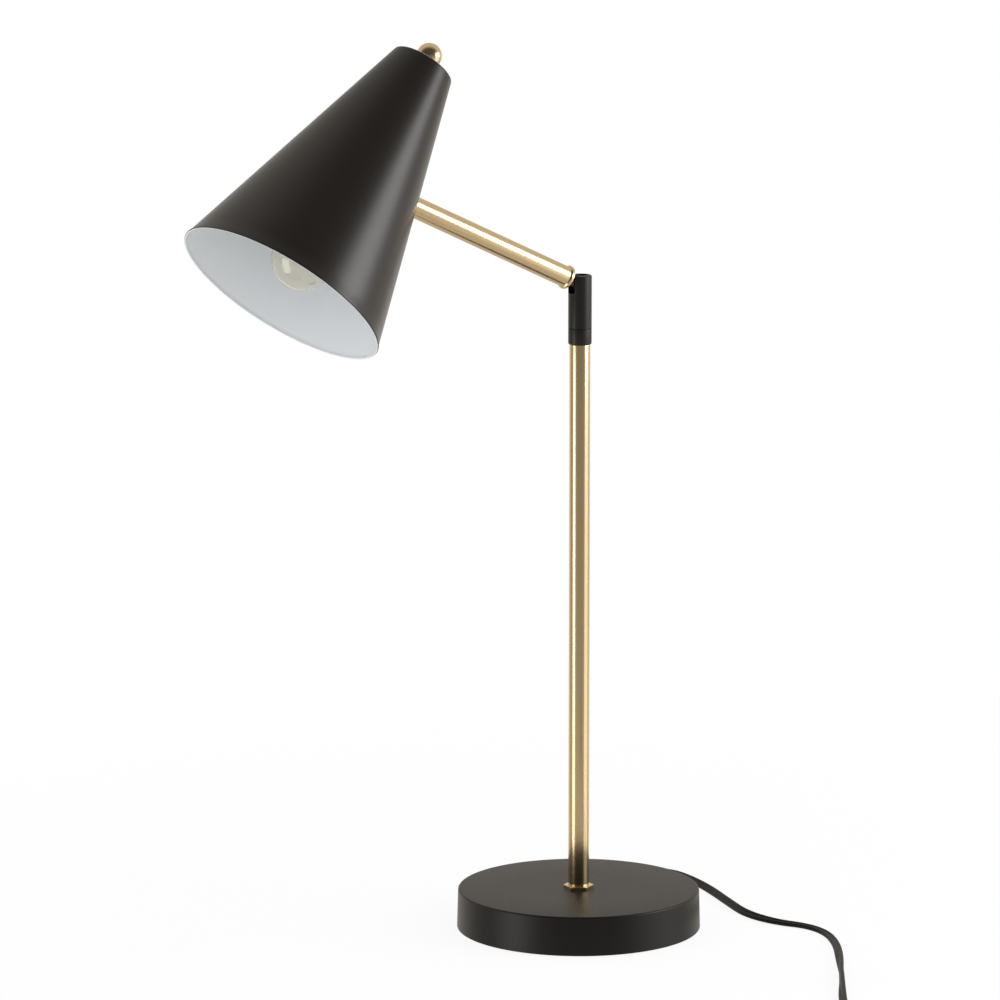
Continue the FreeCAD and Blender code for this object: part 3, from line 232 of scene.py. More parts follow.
def brushedBrass(name, turn):
    # turn brings the piece's own axis onto Z, so that the hair lines run round it
    material = bpy.data.materials.new(name)
    material.use_nodes = True
    tree = material.node_tree
    tree.nodes.clear()
    place = addNode(tree, "ShaderNodeTexCoord").outputs["Object"]
    turned = addNode(tree, "ShaderNodeMapping", {"vector_type": "POINT"}, {
        "Vector": place, "Rotation": turn,
    }).outputs["Vector"]
    streaks = addNode(tree, "ShaderNodeMapping", {"vector_type": "POINT"}, {
        "Vector": turned,
        "Scale": (1000 / brassLook["roundMm"], 1000 / brassLook["roundMm"], 1000 / brassLook["hairMm"]),
    }).outputs["Vector"]
    hair = addNode(tree, "ShaderNodeTexNoise", None, {
        "Vector": streaks, "Scale": 1.0, "Detail": 3.0, "Roughness": 0.6,
    }).outputs["Fac"]
    drift = addNode(tree, "ShaderNodeTexNoise", None, {
        "Vector": place, "Scale": 1000 / brassLook["driftMm"], "Detail": 2.0,
    }).outputs["Fac"]
    mixed = addNode(tree, "ShaderNodeMix", {"data_type": "FLOAT"}, {
        0: 0.35, 2: hair, 3: drift,
    }).outputs[0]
    tone = addNode(tree, "ShaderNodeMix", {"data_type": "RGBA"}, {
        0: mixed, 6: linearColour(brassLook["tones"][0]), 7: linearColour(brassLook["tones"][1]),
    }).outputs[2]
    low, high = brassLook["rough"]
    rough = addNode(tree, "ShaderNodeMapRange", None, {
        "Value": hair, "From Min": 0.3, "From Max": 0.7, "To Min": low, "To Max": high,
    }).outputs["Result"]
    raised = addNode(tree, "ShaderNodeBump", None, {
        "Height": hair, "Distance": brassLook["liftMm"] * mm, "Strength": 1.0,
    }).outputs["Normal"]
    shader = addNode(tree, "ShaderNodeBsdfPrincipled", None, {
        "Base Color": tone, "Roughness": rough, "Normal": raised, "Metallic": 1.0,
    })
    addNode(tree, "ShaderNodeOutputMaterial", None, {"Surface": shader.outputs[0]})
    return material


# Blown soda-lime glass, clear with a warm tint; the blowing leaves it very slightly wavy
glassLook = {"tint": "#FFFCF3", "waveMm": 9, "waveLiftMm": 0.03, "rough": 0.0, "ior": 1.5}


def blownGlass(name):
    material = bpy.data.materials.new(name)
    material.use_nodes = True
    tree = material.node_tree
    tree.nodes.clear()
    place = addNode(tree, "ShaderNodeTexCoord").outputs["Object"]
    wave = addNode(tree, "ShaderNodeTexNoise", None, {
        "Vector": place, "Scale": 1000 / glassLook["waveMm"], "Detail": 1.0,
    }).outputs["Fac"]
    raised = addNode(tree, "ShaderNodeBump", None, {
        "Height": wave, "Distance": glassLook["waveLiftMm"] * mm, "Strength": 1.0,
    }).outputs["Normal"]
    shader = addNode(tree, "ShaderNodeBsdfPrincipled", None, {
        "Base Color": linearColour(glassLook["tint"]), "Roughness": glassLook["rough"],
        "IOR": glassLook["ior"], "Transmission Weight": 1.0, "Normal": raised,
    })
    addNode(tree, "ShaderNodeOutputMaterial", None, {"Surface": shader.outputs[0]})
    return material


materials = {name: surfaceFinish(name) for name in finishes}
materials["stemBrass"] = brushedBrass("stemBrass", (0, 0, 0))
materials["armBrass"] = brushedBrass("armBrass", (0, math.radians(90) - armRise, 0))
materials["blownGlass"] = blownGlass("blownGlass")

slotFinish = {
    "base_enamel": "baseEnamel", "brushed_gold": "stemBrass", "knuckle_black": "knuckleBlack",
    "shade_lacquer": "shadeLacquer", "ballast_iron": "castIron", "zinc_steel": "zincSteel",
    "bush_brass": "turnedBrass", "washer_nylon": "blackAcetal", "pad_foam": "padFoam",
    "cord_vinyl": "cordVinyl", "tie_plastic": "tiePlastic", "lead_insulation": "leadVinyl",
    "switch_plastic": "switchPlastic", "rocker_plastic": "rockerPlastic",
    "plug_vinyl": "cordVinyl", "contact_brass": "turnedBrass", "holder_phenolic": "phenolic",
    "bulb_clear_glass": "blownGlass", "cap_nickel": "nickel", "filament_yellow": "phosphor",
}
slotOf = {part["node"]: part["material_slot"] for part in frame["record"]["subparts"]}
bodyOf = {
    name: body for body, members in frame["record"]["behaviour"]["bodies"].items()
    for name in members
}
for name, node in nodes.items():
    node.data.materials.clear()
    node.data.materials.append(materials[slotFinish[slotOf[name]]])
print("materials made,", len(materials))


def finishMesh(name, mesh, replaced, materialNames, sharpAngle=35):
    # smooth shading between faces that turn less than sharpAngle
    mesh.shade_smooth()
    mesh.set_sharp_from_angle(angle=math.radians(sharpAngle))
    mesh.materials.clear()
    for materialName in materialNames:
        mesh.materials.append(materials[materialName])
    piece = bpy.data.objects.new(name, mesh)
    bpy.context.scene.collection.objects.link(piece)
    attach(piece, bodyOf[replaced[0]])
    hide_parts(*replaced)
    return piece


def closedMesh(name, vertices, faces):
    # doubles at seams and poles are merged, then the faces are turned outwards
    mesh = bpy.data.meshes.new(name)
    mesh.from_pydata(vertices.tolist(), [], faces.tolist())
    work = bmesh.new()
    work.from_mesh(mesh)
    bmesh.ops.remove_doubles(work, verts=work.verts, dist=1e-7)
    bmesh.ops.recalc_face_normals(work, faces=work.faces)
    work.to_mesh(mesh)
    work.free()
    return mesh


def gridFaces(rows, columns, closedRows, closedColumns):
    # quads between neighbouring points of a grid, wrapping round where it is closed
    row = np.arange(rows if closedRows else rows - 1)
    column = np.arange(columns if closedColumns else columns - 1)
    r, c = np.meshgrid(row, column, indexing="ij")
    rNext, cNext = (r + 1) % rows, (c + 1) % columns
    quads = np.stack([
        r * columns + c, r * columns + cNext, rNext * columns + cNext, rNext * columns + c,
    ], -1)
    return quads.reshape(-1, 4)


def roundedOutline(corners, steps=6):
    # corners are (x, y, radius); each is replaced by an arc tangent to both its sides
    points = np.array([corner[:2] for corner in corners], float)
    outline = []
    for i, corner in enumerate(corners):
        here = points[i]
        radius = corner[2] if len(corner) > 2 else 0
        if radius == 0:
            outline.append(here[None])
            continue
        before, after = unit(points[i - 1] - here), unit(points[(i + 1) % len(points)] - here)
        half = math.acos(np.clip(before @ after, -1, 1)) / 2
        centre = here + unit(before + after) * radius / math.sin(half)
        first = here + before * radius / math.tan(half) - centre
        last = here + after * radius / math.tan(half) - centre
        share = np.linspace(0, 1, steps + 1)[:, None]
        span = math.pi - 2 * half
        arc = (first * np.sin((1 - share) * span) + last * np.sin(share * span)) / math.sin(span)
        outline.append(centre + arc)
    return np.concatenate(outline)


def revolve(name, outline, axes, replaced, materialNames, steps=192, closed=True, sharpAngle=35):
    # P(u, v) = origin + r(v) (cos u X + sin u Y) + h(v) Z, with outline (r, h) in millimetres
    origin, xWay, zWay = axes
    yWay = np.cross(zWay, xWay)
    angle = np.linspace(0, 2 * math.pi, steps, endpoint=False)
    around = np.cos(angle)[:, None] * xWay + np.sin(angle)[:, None] * yWay
    r, h = outline[:, 0] * mm, outline[:, 1] * mm
    points = origin + r[:, None, None] * around[None] + h[:, None, None] * zWay
    mesh = closedMesh(name, points.reshape(-1, 3), gridFaces(len(outline), steps, closed, True))
    return finishMesh(name, mesh, replaced, materialNames, sharpAngle)


def softenedCopy(name, replaced, materialName, bevelMm=0.0, sharpAngle=35):
    # the CAD surface with its triangles merged into whole faces and its edges eased
    work = bmesh.new()
    work.from_mesh(nodes[replaced[0]].data)
    bmesh.ops.remove_doubles(work, verts=work.verts, dist=2e-6)
    bmesh.ops.dissolve_limit(
        work, angle_limit=math.radians(0.6), verts=work.verts, edges=work.edges,
        use_dissolve_boundaries=False,
    )
    mesh = bpy.data.meshes.new(name)
    work.to_mesh(mesh)
    work.free()
    piece = finishMesh(name, mesh, replaced, [materialName], sharpAngle)
    if bevelMm:
        bevel = piece.modifiers.new("edges", "BEVEL")
        bevel.width = bevelMm * mm
        bevel.segments = 2
        bevel.limit_method = "ANGLE"
        bevel.angle_limit = math.radians(40)
        bevel.harden_normals = True
        bevel.use_clamp_overlap = True
    return piece


# Base: spun shell with a rounded rim, and the thin nut at the stem's foot
baseShape = {
    "bottomRadius": 80.6, "topRadius": 79.9, "height": 26.7, "lift": 0.8, "wall": 1.2,
    "rimRadius": 1.3, "holeRadius": 4.95,
}


def baseOutline(s):
    under = s["height"] - s["wall"]
    return roundedOutline([
        (s["holeRadius"], s["height"]), (s["topRadius"] / 2, s["height"]),
        (s["topRadius"], s["height"], s["rimRadius"]), (s["bottomRadius"], s["lift"], 0.4),
        (s["bottomRadius"] - s["wall"], s["lift"], 0.3), (s["topRadius"] - s["wall"], under, 1.0),
        (s["holeRadius"], under),
    ], 8)


revolve("base_shell_piece", baseOutline(baseShape), stemAxes, ["base_shell"], ["baseEnamel"], 256)
softenedCopy("foot_nut_piece", ["foot_nut"], "stemBrass", 0.15)
print("base made")

# Stem, collar and fork
stemShape = {"radius": 6.9, "wall": 1.0, "bottom": 28.7, "top": 391.4, "edge": 0.25}
collarShape = {
    "radius": 7.7, "bottom": 391.4, "top": 401.8, "edge": 0.8, "topEdge": 0.25, "hole": 4.0,
}


def tubeOutline(outer, inner, bottom, top, edge):
    return roundedOutline([
        (inner, bottom), (outer, bottom, edge), (outer, top, edge), (inner, top),
    ], 4)


revolve("stem_tube_piece", tubeOutline(
    stemShape["radius"], stemShape["radius"] - stemShape["wall"],
    stemShape["bottom"], stemShape["top"], stemShape["edge"],
), stemAxes, ["stem_tube"], ["stemBrass"], 128)
revolve("stem_collar_piece", roundedOutline([
    (collarShape["hole"], collarShape["bottom"]),
    (collarShape["radius"], collarShape["bottom"], collarShape["edge"]),
    (collarShape["radius"], collarShape["top"], collarShape["topEdge"]),
    (collarShape["hole"], collarShape["top"]),
], 5), stemAxes, ["stem_collar"], ["knuckleBlack"], 96)
softenedCopy("swivel_fork_piece", ["swivel_fork"], "knuckleBlack", 0.2)
softenedCopy("elbow_screw_piece", ["elbow_screw"], "knuckleBlack", 0.12)
softenedCopy("arm_tongue_piece", ["arm_tongue"], "knuckleBlack", 0.15)
print("stem and knuckle made")

# Arm: chamfered end ring, and the tube whose far end is shaped to the shade's wall
armShape = {
    "ringStart": 10.0, "ringEnd": 13.2, "ringRadius": 7.9, "ringChamfer": 0.8, "ringHole": 5.9,
    "radius": 6.9, "inner": 5.9, "seatGap": 0.1,
}


def armTube(s, steps=128, lengths=24):
    # P(u, v) = pivot + (start + v (end(u) - start)) A + R (cos u E + sin u F), where the end
    # follows the wall: end(u) = reach + W - sqrt(W^2 - (R sin u')^2), W the wall's own radius
    side = np.cross(armWay, armOver)
    across = unit(np.cross(shadeZ, armWay))
    angle = np.linspace(0, 2 * math.pi, steps, endpoint=False)
    around = np.cos(angle)[:, None] * armOver + np.sin(angle)[:, None] * side
    wall = wallRadius / math.cos(shadeHalf)
    share = np.linspace(0, 1, lengths)
    rings = []
    for radius, run in ((s["radius"], share), (s["inner"], share[::-1])):
        offset = radius * (around @ across)
        end = lampPlaces["armReach"] - s["seatGap"] + wall - np.sqrt(wall ** 2 - offset ** 2)
        along = s["ringEnd"] + run[:, None] * (end - s["ringEnd"])[None]
        rings.append(pivot + (along[..., None] * armWay + radius * around[None]) * mm)
    points = np.concatenate(rings)
    mesh = closedMesh("arm_tube_piece", points.reshape(-1, 3), gridFaces(len(points), steps, True, True))
    return finishMesh("arm_tube_piece", mesh, ["arm_tube"], ["armBrass"])


armTube(armShape)
revolve("arm_end_ring_piece", roundedOutline([
    (armShape["ringHole"], armShape["ringStart"]),
    (armShape["ringRadius"] - armShape["ringChamfer"], armShape["ringStart"], 0.15),
    (armShape["ringRadius"], armShape["ringStart"] + armShape["ringChamfer"], 0.2),
    (armShape["ringRadius"], armShape["ringEnd"] - armShape["ringChamfer"], 0.2),
    (armShape["ringRadius"] - armShape["ringChamfer"], armShape["ringEnd"], 0.15),
    (armShape["ringHole"], armShape["ringEnd"]),
], 3), armAxes, ["arm_end_ring"], ["armBrass"], 96)
print("arm made")

# Shade: spun cone, black outside, white inside, its mouth rolled into a thin hem
shadeShape = {"wall": 0.7, "hemRadius": 0.6, "topEdge": 1.4, "rodHole": 3.95, "paintEdge": 0.2}


def shadeShell(s):
    slope = math.tan(shadeHalf)
    mouth, top, height = lampPlaces["mouthRadius"], lampPlaces["topRadius"], lampPlaces["shadeHeight"]
    across = s["wall"] / math.cos(shadeHalf)
    hemAngle = np.linspace(math.radians(-205), math.radians(20), 14)
    hem = np.stack([
        mouth - across / 2 + (s["hemRadius"] + 0.02) * np.cos(hemAngle),
        s["hemRadius"] + (s["hemRadius"] + 0.02) * np.sin(hemAngle),
    ], -1)
    levels = np.linspace(3.0, height - 3.0, 24)
    outside = np.stack([mouth - levels * slope, levels], -1)
    inside = np.stack([mouth - across - levels[::-1] * slope, levels[::-1]], -1)
    crown = roundedOutline([
        (mouth - (height - 2.9) * slope, height - 2.9), (top, height, s["topEdge"]),
        (s["rodHole"], height), (s["rodHole"], height - s["wall"]),
        (top - across, height - s["wall"], 0.8),
        (mouth - across - (height - 2.9) * slope, height - 2.9),
    ], 8)
    outline = np.concatenate([hem, outside, crown, inside])
    piece = revolve(
        "shade_piece", outline, shadeAxes, ["shade"], ["shadeLacquer", "shadeWhite"], 256, True, 50,
    )
    # faces whose middle lies inside the middle of the wall are white
    count = len(piece.data.polygons)
    middles = np.empty(count * 3)
    piece.data.polygons.foreach_get("center", middles)
    local = (middles.reshape(-1, 3) - shadeOrigin) / mm
    rise = local @ shadeZ
    radius = np.linalg.norm(local - rise[:, None] * shadeZ, axis=1)
    white = (radius < mouth - s["paintEdge"] - rise * slope) & (rise < height - s["wall"] / 2)
    piece.data.polygons.foreach_set("material_index", white.astype(np.int32))
    piece.data.update()


shadeShell(shadeShape)

# Ball on top, with its collar
ballShape = {
    "radius": 8.3, "rise": 7.9, "collarRadius": 5.6, "collarHeight": 2.2, "bore": 3.95, "depth": 9.7,
}


def ballOutline(s):
    # a short collar with the rod's bore, then a circle from the collar's top to the pole
    base = lampPlaces["shadeHeight"]
    start = math.asin((s["collarHeight"] - s["rise"]) / s["radius"])
    angle = np.linspace(start, math.pi / 2, 48)
    ball = np.stack([s["radius"] * np.cos(angle), base + s["rise"] + s["radius"] * np.sin(angle)], -1)
    ball[-1, 0] = 0
    neck = np.array([
        (0, base + s["depth"]), (s["bore"], base + s["depth"]), (s["bore"], base),
        (s["collarRadius"], base), (s["collarRadius"], base + s["collarHeight"] - 0.3),
    ])
    return np.concatenate([neck, ball])


revolve(
    "ball_finial_piece", ballOutline(ballShape), shadeAxes, ["ball_finial"], ["armBrass"], 96, False,
)
for plain in ("shade_rod", "shade_rod_nuts", "arm_nut", "arm_washer", "arm_nipple"):
    softenedCopy(plain + "_piece", [plain], "zincSteel", 0.12)
print("shade made")

# Bulb: blown globe, glass stem with support wires, screw cap with its rolled thread
bulbShape = {
    "centre": 27.0, "radius": 20.0, "wall": 0.7, "neckRadius": 6.3, "neckHeight": 51.0,
    "flareRadius": 7.0,
    "capTop": 64.5, "capSheet": 0.4, "threadFrom": 51.0, "threadTo": 64.2, "threadMean": 5.65,
    "threadRise": 0.25, "threadPitch": 2.54, "plainEnd": 1.0, "runOut": 1.2,
}


def globeOutline(s, inset):
    # a circle about the globe's centre, run into the neck by a fillet of flareRadius
    radius, neck, flare = s["radius"] - inset, s["neckRadius"] - inset, s["flareRadius"] + inset
    reach = math.sqrt((radius + flare) ** 2 - (neck + flare) ** 2)
    meet = math.atan2(reach, neck + flare)
    globe = np.linspace(-math.pi / 2, meet, 64)
    fillet = np.linspace(math.pi + meet, math.pi, 12)
    run = neck + flare + flare * np.cos(fillet)
    points = np.concatenate([
        np.stack([radius * np.cos(globe), s["centre"] + radius * np.sin(globe)], -1),
        np.stack([run, s["centre"] + reach + flare * np.sin(fillet)], -1),
        [(neck, s["neckHeight"])],
    ])
    points[0, 0] = 0
    return points


def bulbPieces(s):
    # thread: r(h) = mean + rise ridge(h) cos(2 pi h / pitch), where ridge runs out at both ends
    outline = np.concatenate([
        globeOutline(s, 0)[:-1], [(s["neckRadius"], s["neckHeight"])],
        [(s["neckRadius"] - s["wall"], s["neckHeight"])], globeOutline(s, s["wall"])[-2::-1],
    ])
    revolve("bulb_glass_piece", outline, shadeAxes, ["bulb_glass"], ["blownGlass"], 128, False, 60)
    low, high, top = s["threadFrom"], s["threadTo"], s["capTop"]
    levels = np.linspace(low, high, 60)
    past = levels - low - s["plainEnd"]
    ridge = np.clip(past / s["runOut"], 0, 1) * np.clip((high - 0.8 - levels) / s["runOut"], 0, 1)
    thread = s["threadMean"] + s["threadRise"] * ridge * np.cos(past / s["threadPitch"] * 2 * math.pi)
    under = top - s["capSheet"]
    cap = np.concatenate([
        np.stack([thread, levels], -1),
        [(5.2, top), (0, top), (0, under), (5.0, under), (5.2, 63.0), (5.2, low)],
    ])
    revolve("bulb_cap_piece", cap, shadeAxes, ["bulb_cap"], ["nickel"], 96)


bulbPieces(bulbShape)
for plain, finish in (
    ("bulb_stem", "blownGlass"), ("bulb_filaments", "phosphor"), ("holder_screw_shell", "turnedBrass"),
):
    softenedCopy(plain + "_piece", [plain], finish)

# Lampholder: ribbed insulating body under a pressed metal cap
holderShape = {
    "radius": 10.4, "bore": 7.1, "mouth": 46.0, "floor": 70.0, "back": 80.0,
    "ribs": 5, "ribDepth": 0.45, "ribbedTo": 72.0,
}


def holderOutline(s):
    # r(h) = radius - depth groove(h); the grooves are the clipped troughs of a cosine
    levels = np.linspace(s["mouth"] + 1.5, s["ribbedTo"], 80)
    share = (levels - s["mouth"] - 3) / (s["ribbedTo"] - s["mouth"] - 6)
    wave = np.clip(-np.cos(share * 2 * math.pi * s["ribs"]) * 3 - 2, 0, 1)
    groove = s["ribDepth"] * wave * ((share > 0) & (share < 1))
    skin = np.stack([s["radius"] - groove, levels], -1)
    return np.concatenate([
        [(s["bore"], s["floor"]), (s["bore"], s["mouth"] + 0.6), (s["bore"] + 0.6, s["mouth"]),
         (s["radius"] - 0.9, s["mouth"]), (s["radius"] - 0.25, s["mouth"] + 0.35)],
        skin, [(s["radius"], s["back"]), (0, s["back"]), (0, s["floor"])],
    ])


revolve("holder_body_piece", holderOutline(holderShape), shadeAxes, ["holder_body"], ["phenolic"], 96)
softenedCopy("holder_cap_piece", ["holder_cap"], "zincSteel", 0.25)
print("bulb and lampholder made")

# Gland in the base's wall with a grooved boot that tapers along the cord
cordLook = {
    "width": 5.6, "thickness": 2.8, "web": 0.95, "exitDeg": 50.0, "exitHeight": 7.8,
    "bootStart": 82.1, "bootLength": 24.0, "bootRoot": 4.6, "bootTip": 3.4, "leadOut": 16.0,
    "grooves": 4, "grooveDepth": 0.55, "grooveWidth": 0.75,
}
exitAngle = math.radians(cordLook["exitDeg"])
exitWay = np.array([math.cos(exitAngle), math.sin(exitAngle), 0])
exitSide = np.cross(upWay, exitWay)
bootEnd = cordLook["bootStart"] + cordLook["bootLength"]


def glandBoot(s):
    # radius falls in line from root to tip, less a rounded groove: depth exp(-(d / width)^2)
    along = np.linspace(0, s["bootLength"], 120)
    radius = s["bootRoot"] + (s["bootTip"] - s["bootRoot"]) * along / s["bootLength"]
    root = s["bootStart"]
    pitch = s["bootLength"] / (s["grooves"] + 1)
    for k in range(1, s["grooves"] + 1):
        radius = radius - s["grooveDepth"] * np.exp(-((along - k * pitch) / s["grooveWidth"]) ** 2)
    skin = np.stack([radius, root + along], -1)
    outline = np.concatenate([
        [(0, root - 5.6), (4.0, root - 5.6), (4.2, root - 5.4), (4.2, root - 4.3), (3.4, root - 4.1),
         (3.4, root - 1.5), (5.1, root - 1.5), (5.4, root - 1.2), (5.4, root - 0.5), (5.0, root)],
        skin, [(3.1, bootEnd), (0, bootEnd)],
    ])
    origin = np.array([0, 0, s["exitHeight"] * mm])
    axes = (origin, exitSide, exitWay)
    revolve("cord_gland_piece", outline, axes, ["cord_gland"], ["cordVinyl"], 64, False)


glandBoot(cordLook)

# Free cord on the table, a flat twin lead that lies on its broad side. The points are the CAD
# route's own, in millimetres; on the table the lead's middle is half its thickness up where it
# lies flat, and half its width where it stands on its edge.
leadRoute = [
    (95.8, 104.0, 3.6), (116.4, 102.5, 1.5), (129.6, 86.6, 2.0), (127.9, 58.5, 2.6),
    (123.3, 28.6, 2.7), (115.4, -4.0, 2.8), (108.4, -37.1, 2.3), (113.8, -64.9, 1.8),
    (127.2, -83.4, 1.5), (128.2, -105.0, 1.6), (115.6, -134.8, 1.8), (95.2, -168.1, 2.7),
    (71.7, -205.3, 3.0), (47.5, -240.9, 2.3), (26.6, -275.0, 1.5), (13.2, -299.6, 3.4),
    (4.1, -315.1, 8.4), (-4.2, -328.8, 8.4),
]
# Roll of the lead at the route's points, counted from the boot: on edge, flat, on edge, flat
leadTurns = {
    "at": [0, 2, 4, 6, 7.5, 9, 10, 12.6, 13.3, 13.9, 14.5, 15.3, 16.5, 19],
    "deg": [0, 0, 10, 52, 42, 15, 5, 5, 45, 84, 72, 35, 0, 0],
}
exitPoints = [
    exitWay * (bootEnd + run) + upWay * cordLook["exitHeight"] for run in (0.0, cordLook["leadOut"])
]
leadPoints = np.concatenate([exitPoints, leadRoute])
# a rolled lead stands t/2 (1 + sin roll) high: no point on the table is lower than that
rollAt = np.radians(np.interp(np.arange(len(leadPoints)), leadTurns["at"], leadTurns["deg"]))
standAt = cordLook["thickness"] / 2 * (1 + np.sin(rollAt)) + 0.1
standAt = np.max([np.roll(standAt, k) for k in (-1, 0, 1)], axis=0)
leadPoints[3:-2, 2] = np.maximum(leadPoints[3:-2, 2], standAt[3:-2])

# Past the switch: link, tied coil of two layers, and the end that goes into the plug
coilLook = {
    "switchLength": 60.0, "link": 46.0, "linkRun": 14.0, "outerRadius": 41.0, "pitch": 6.4,
    "layerTurns": 2.5, "low": 2.2, "rise": 3.1, "perTurn": 16, "leadIn": 5.6,
    "endFlat": 12.0, "endFall": (26.0, 6.2), "endLevel": (40.0, 52.0), "plugHeight": 7.0,
}
switchEndHeight = leadRoute[-1][2]
leadWay = unit(np.array([leadRoute[-1][0] - leadRoute[-2][0], leadRoute[-1][1] - leadRoute[-2][1], 0]))
leadSide = np.cross(upWay, leadWay)
switchStart = np.array([leadRoute[-1][0], leadRoute[-1][1], 0])
coilStart = math.atan2(leadSide[1], leadSide[0])
coilWhole = 2 * math.pi * 2 * coilLook["layerTurns"] + math.pi
coilCentre = (
    switchStart + leadWay * (coilLook["switchLength"] + coilLook["link"] + coilLook["leadIn"])
    - leadSide * coilLook["outerRadius"]
)


def coilLine(s, angle):
    # spirals in on the table, climbs a layer in the half turn where it reverses, spirals out
    inward = 2 * math.pi * s["layerTurns"]
    rate = s["pitch"] / (2 * math.pi)
    inner = s["outerRadius"] - rate * inward
    past = np.clip(angle - inward, 0, math.pi)
    share = past / math.pi
    radius = np.where(
        angle <= inward, s["outerRadius"] - rate * angle,
        inner - rate * (past - past ** 2 / math.pi) + rate * np.clip(angle - inward - math.pi, 0, None),
    )
    height = s["low"] + s["rise"] * (3 * share ** 2 - 2 * share ** 3)
    turn = coilStart - angle
    return coilCentre + np.stack([radius * np.cos(turn), radius * np.sin(turn), height], -1)


def coilHeading(s, angle):
    # the tangent, from two points close on either side
    near = coilLine(s, np.array([angle - 0.001, angle + 0.001]))
    return unit(near[1] - near[0])


def coilRoute(s):
    # link from the switch, the turns, then the end that comes down to the plug's own height
    count = int(coilWhole / (2 * math.pi) * s["perTurn"]) + 1
    turns = coilLine(s, np.linspace(0, coilWhole, count))
    headIn = coilHeading(s, 0.0)
    out = unit(coilHeading(s, coilWhole) * np.array([1, 1, 0]))
    start = switchStart + leadWay * s["switchLength"] + upWay * switchEndHeight
    into = turns[0] - headIn * s["leadIn"]
    last = turns[-1] + out * s["leadIn"]
    level = [(reach, s["plugHeight"]) for reach in s["endLevel"]]
    ends = [
        last + out * reach + upWay * (height - last[2])
        for reach, height in [(0, last[2]), (s["endFlat"], last[2]), s["endFall"], *level]
    ]
    link = [start, start + leadWay * s["linkRun"], into - headIn * s["linkRun"], into]
    return np.concatenate([link, turns, ends]), out


coilPoints, plugWay = coilRoute(coilLook)


def splineLine(name, points, resolution):
    # the centreline: a quadratic NURBS spline with the route's points as its control points
    curve = bpy.data.curves.new(name, "CURVE")
    curve.dimensions = "3D"
    spline = curve.splines.new("NURBS")
    spline.points.add(len(points) - 1)
    weighted = np.column_stack([points * mm, np.ones(len(points))])
    spline.points.foreach_set("co", weighted.ravel())
    spline.order_u = 3
    spline.use_endpoint_u = True
    spline.resolution_u = resolution
    holder = bpy.data.objects.new(name, curve)
    bpy.context.scene.collection.objects.link(holder)
    bpy.context.view_layer.update()
    mesh = bpy.data.meshes.new_from_object(holder.evaluated_get(bpy.context.evaluated_depsgraph_get()))
    line = np.empty(len(mesh.vertices) * 3)
    mesh.vertices.foreach_get("co", line)
    bpy.data.objects.remove(holder)
    bpy.data.curves.remove(curve)
    bpy.data.meshes.remove(mesh)
    return line.reshape(-1, 3)


def flatLead(name, line, roll, s, replaced):
    # P(u, v) = C(v) + x(u) S(v) + y(u) N(v); S is level and square to the lead, N stands on both,
    # and both are turned by the roll. The section is two round wires side by side with a web
    # between: x = w/2 cos u, y = +-max(sqrt(t^2/4 - (|x| - t/2)^2), web)
    way = np.gradient(line, axis=0)
    way /= np.linalg.norm(way, axis=1)[:, None]
    side = np.cross(upWay, way)
    side /= np.linalg.norm(side, axis=1)[:, None]
    over = np.cross(way, side)
    turn = roll[:, None]
    side, over = side * np.cos(turn) + over * np.sin(turn), over * np.cos(turn) - side * np.sin(turn)
    angle = np.linspace(0, 2 * math.pi, 40, endpoint=False)
    half = s["thickness"] / 2
    x = s["width"] / 2 * np.cos(angle)
    wire = np.sqrt(np.clip(half ** 2 - (np.abs(x) - half) ** 2, 0, None))
    y = np.sign(np.sin(angle)) * np.where(np.abs(x) < half, np.maximum(wire, s["web"]), wire)
    points = line[:, None] + (x[None, :, None] * side[:, None] + y[None, :, None] * over[:, None]) * mm
    faces = gridFaces(len(line), len(angle), False, True)
    mesh = bpy.data.meshes.new(name)
    first = list(range(len(angle)))
    last = [(len(line) - 1) * len(angle) + k for k in first]
    mesh.from_pydata(points.reshape(-1, 3).tolist(), [], faces.tolist() + [first, last])
    work = bmesh.new()
    work.from_mesh(mesh)
    bmesh.ops.recalc_face_normals(work, faces=work.faces)
    work.to_mesh(mesh)
    work.free()
    return finishMesh(name, mesh, replaced, ["cordVinyl"], 50)


def lineLength(line):
    return float(np.linalg.norm(np.diff(line, axis=0), axis=1).sum())


leadLine = splineLine("leadLine", leadPoints, 16)
coilLineRun = splineLine("coilLine", coilPoints, 6)
leadRoll = np.radians(np.interp(
    np.linspace(0, len(leadPoints) - 1, len(leadLine)), leadTurns["at"], leadTurns["deg"],
))
leadPiece = flatLead("cord_lead_piece", leadLine, leadRoll, cordLook, ["cord_lead"])
coilPiece = flatLead(
    "cord_coil_piece", coilLineRun, np.zeros(len(coilLineRun)), cordLook,
    ["cord_coil", "cord_link", "cord_end"],
)
print("cords made, lengths", round(lineLength(leadLine), 3), round(lineLength(coilLineRun), 3))

# Switch on the cord: two moulded halves, a polished rocker and its screws
for plain, finish, bevel in (
    ("switch_base", "switchPlastic", 0.3), ("switch_cover", "switchPlastic", 0.3),
    ("switch_rocker", "rockerPlastic", 0.35), ("switch_screws", "zincSteel", 0.1),
):
    softenedCopy(plain + "_piece", [plain], finish, bevel)

# Tie round the coil: a flat strap bent round the bundle of turns as a closed band
tieLook = {
    "width": 6.0, "thickness": 0.6, "turnShare": 0.25, "clear": 0.25, "bend": 1.2, "edge": 0.15,
}


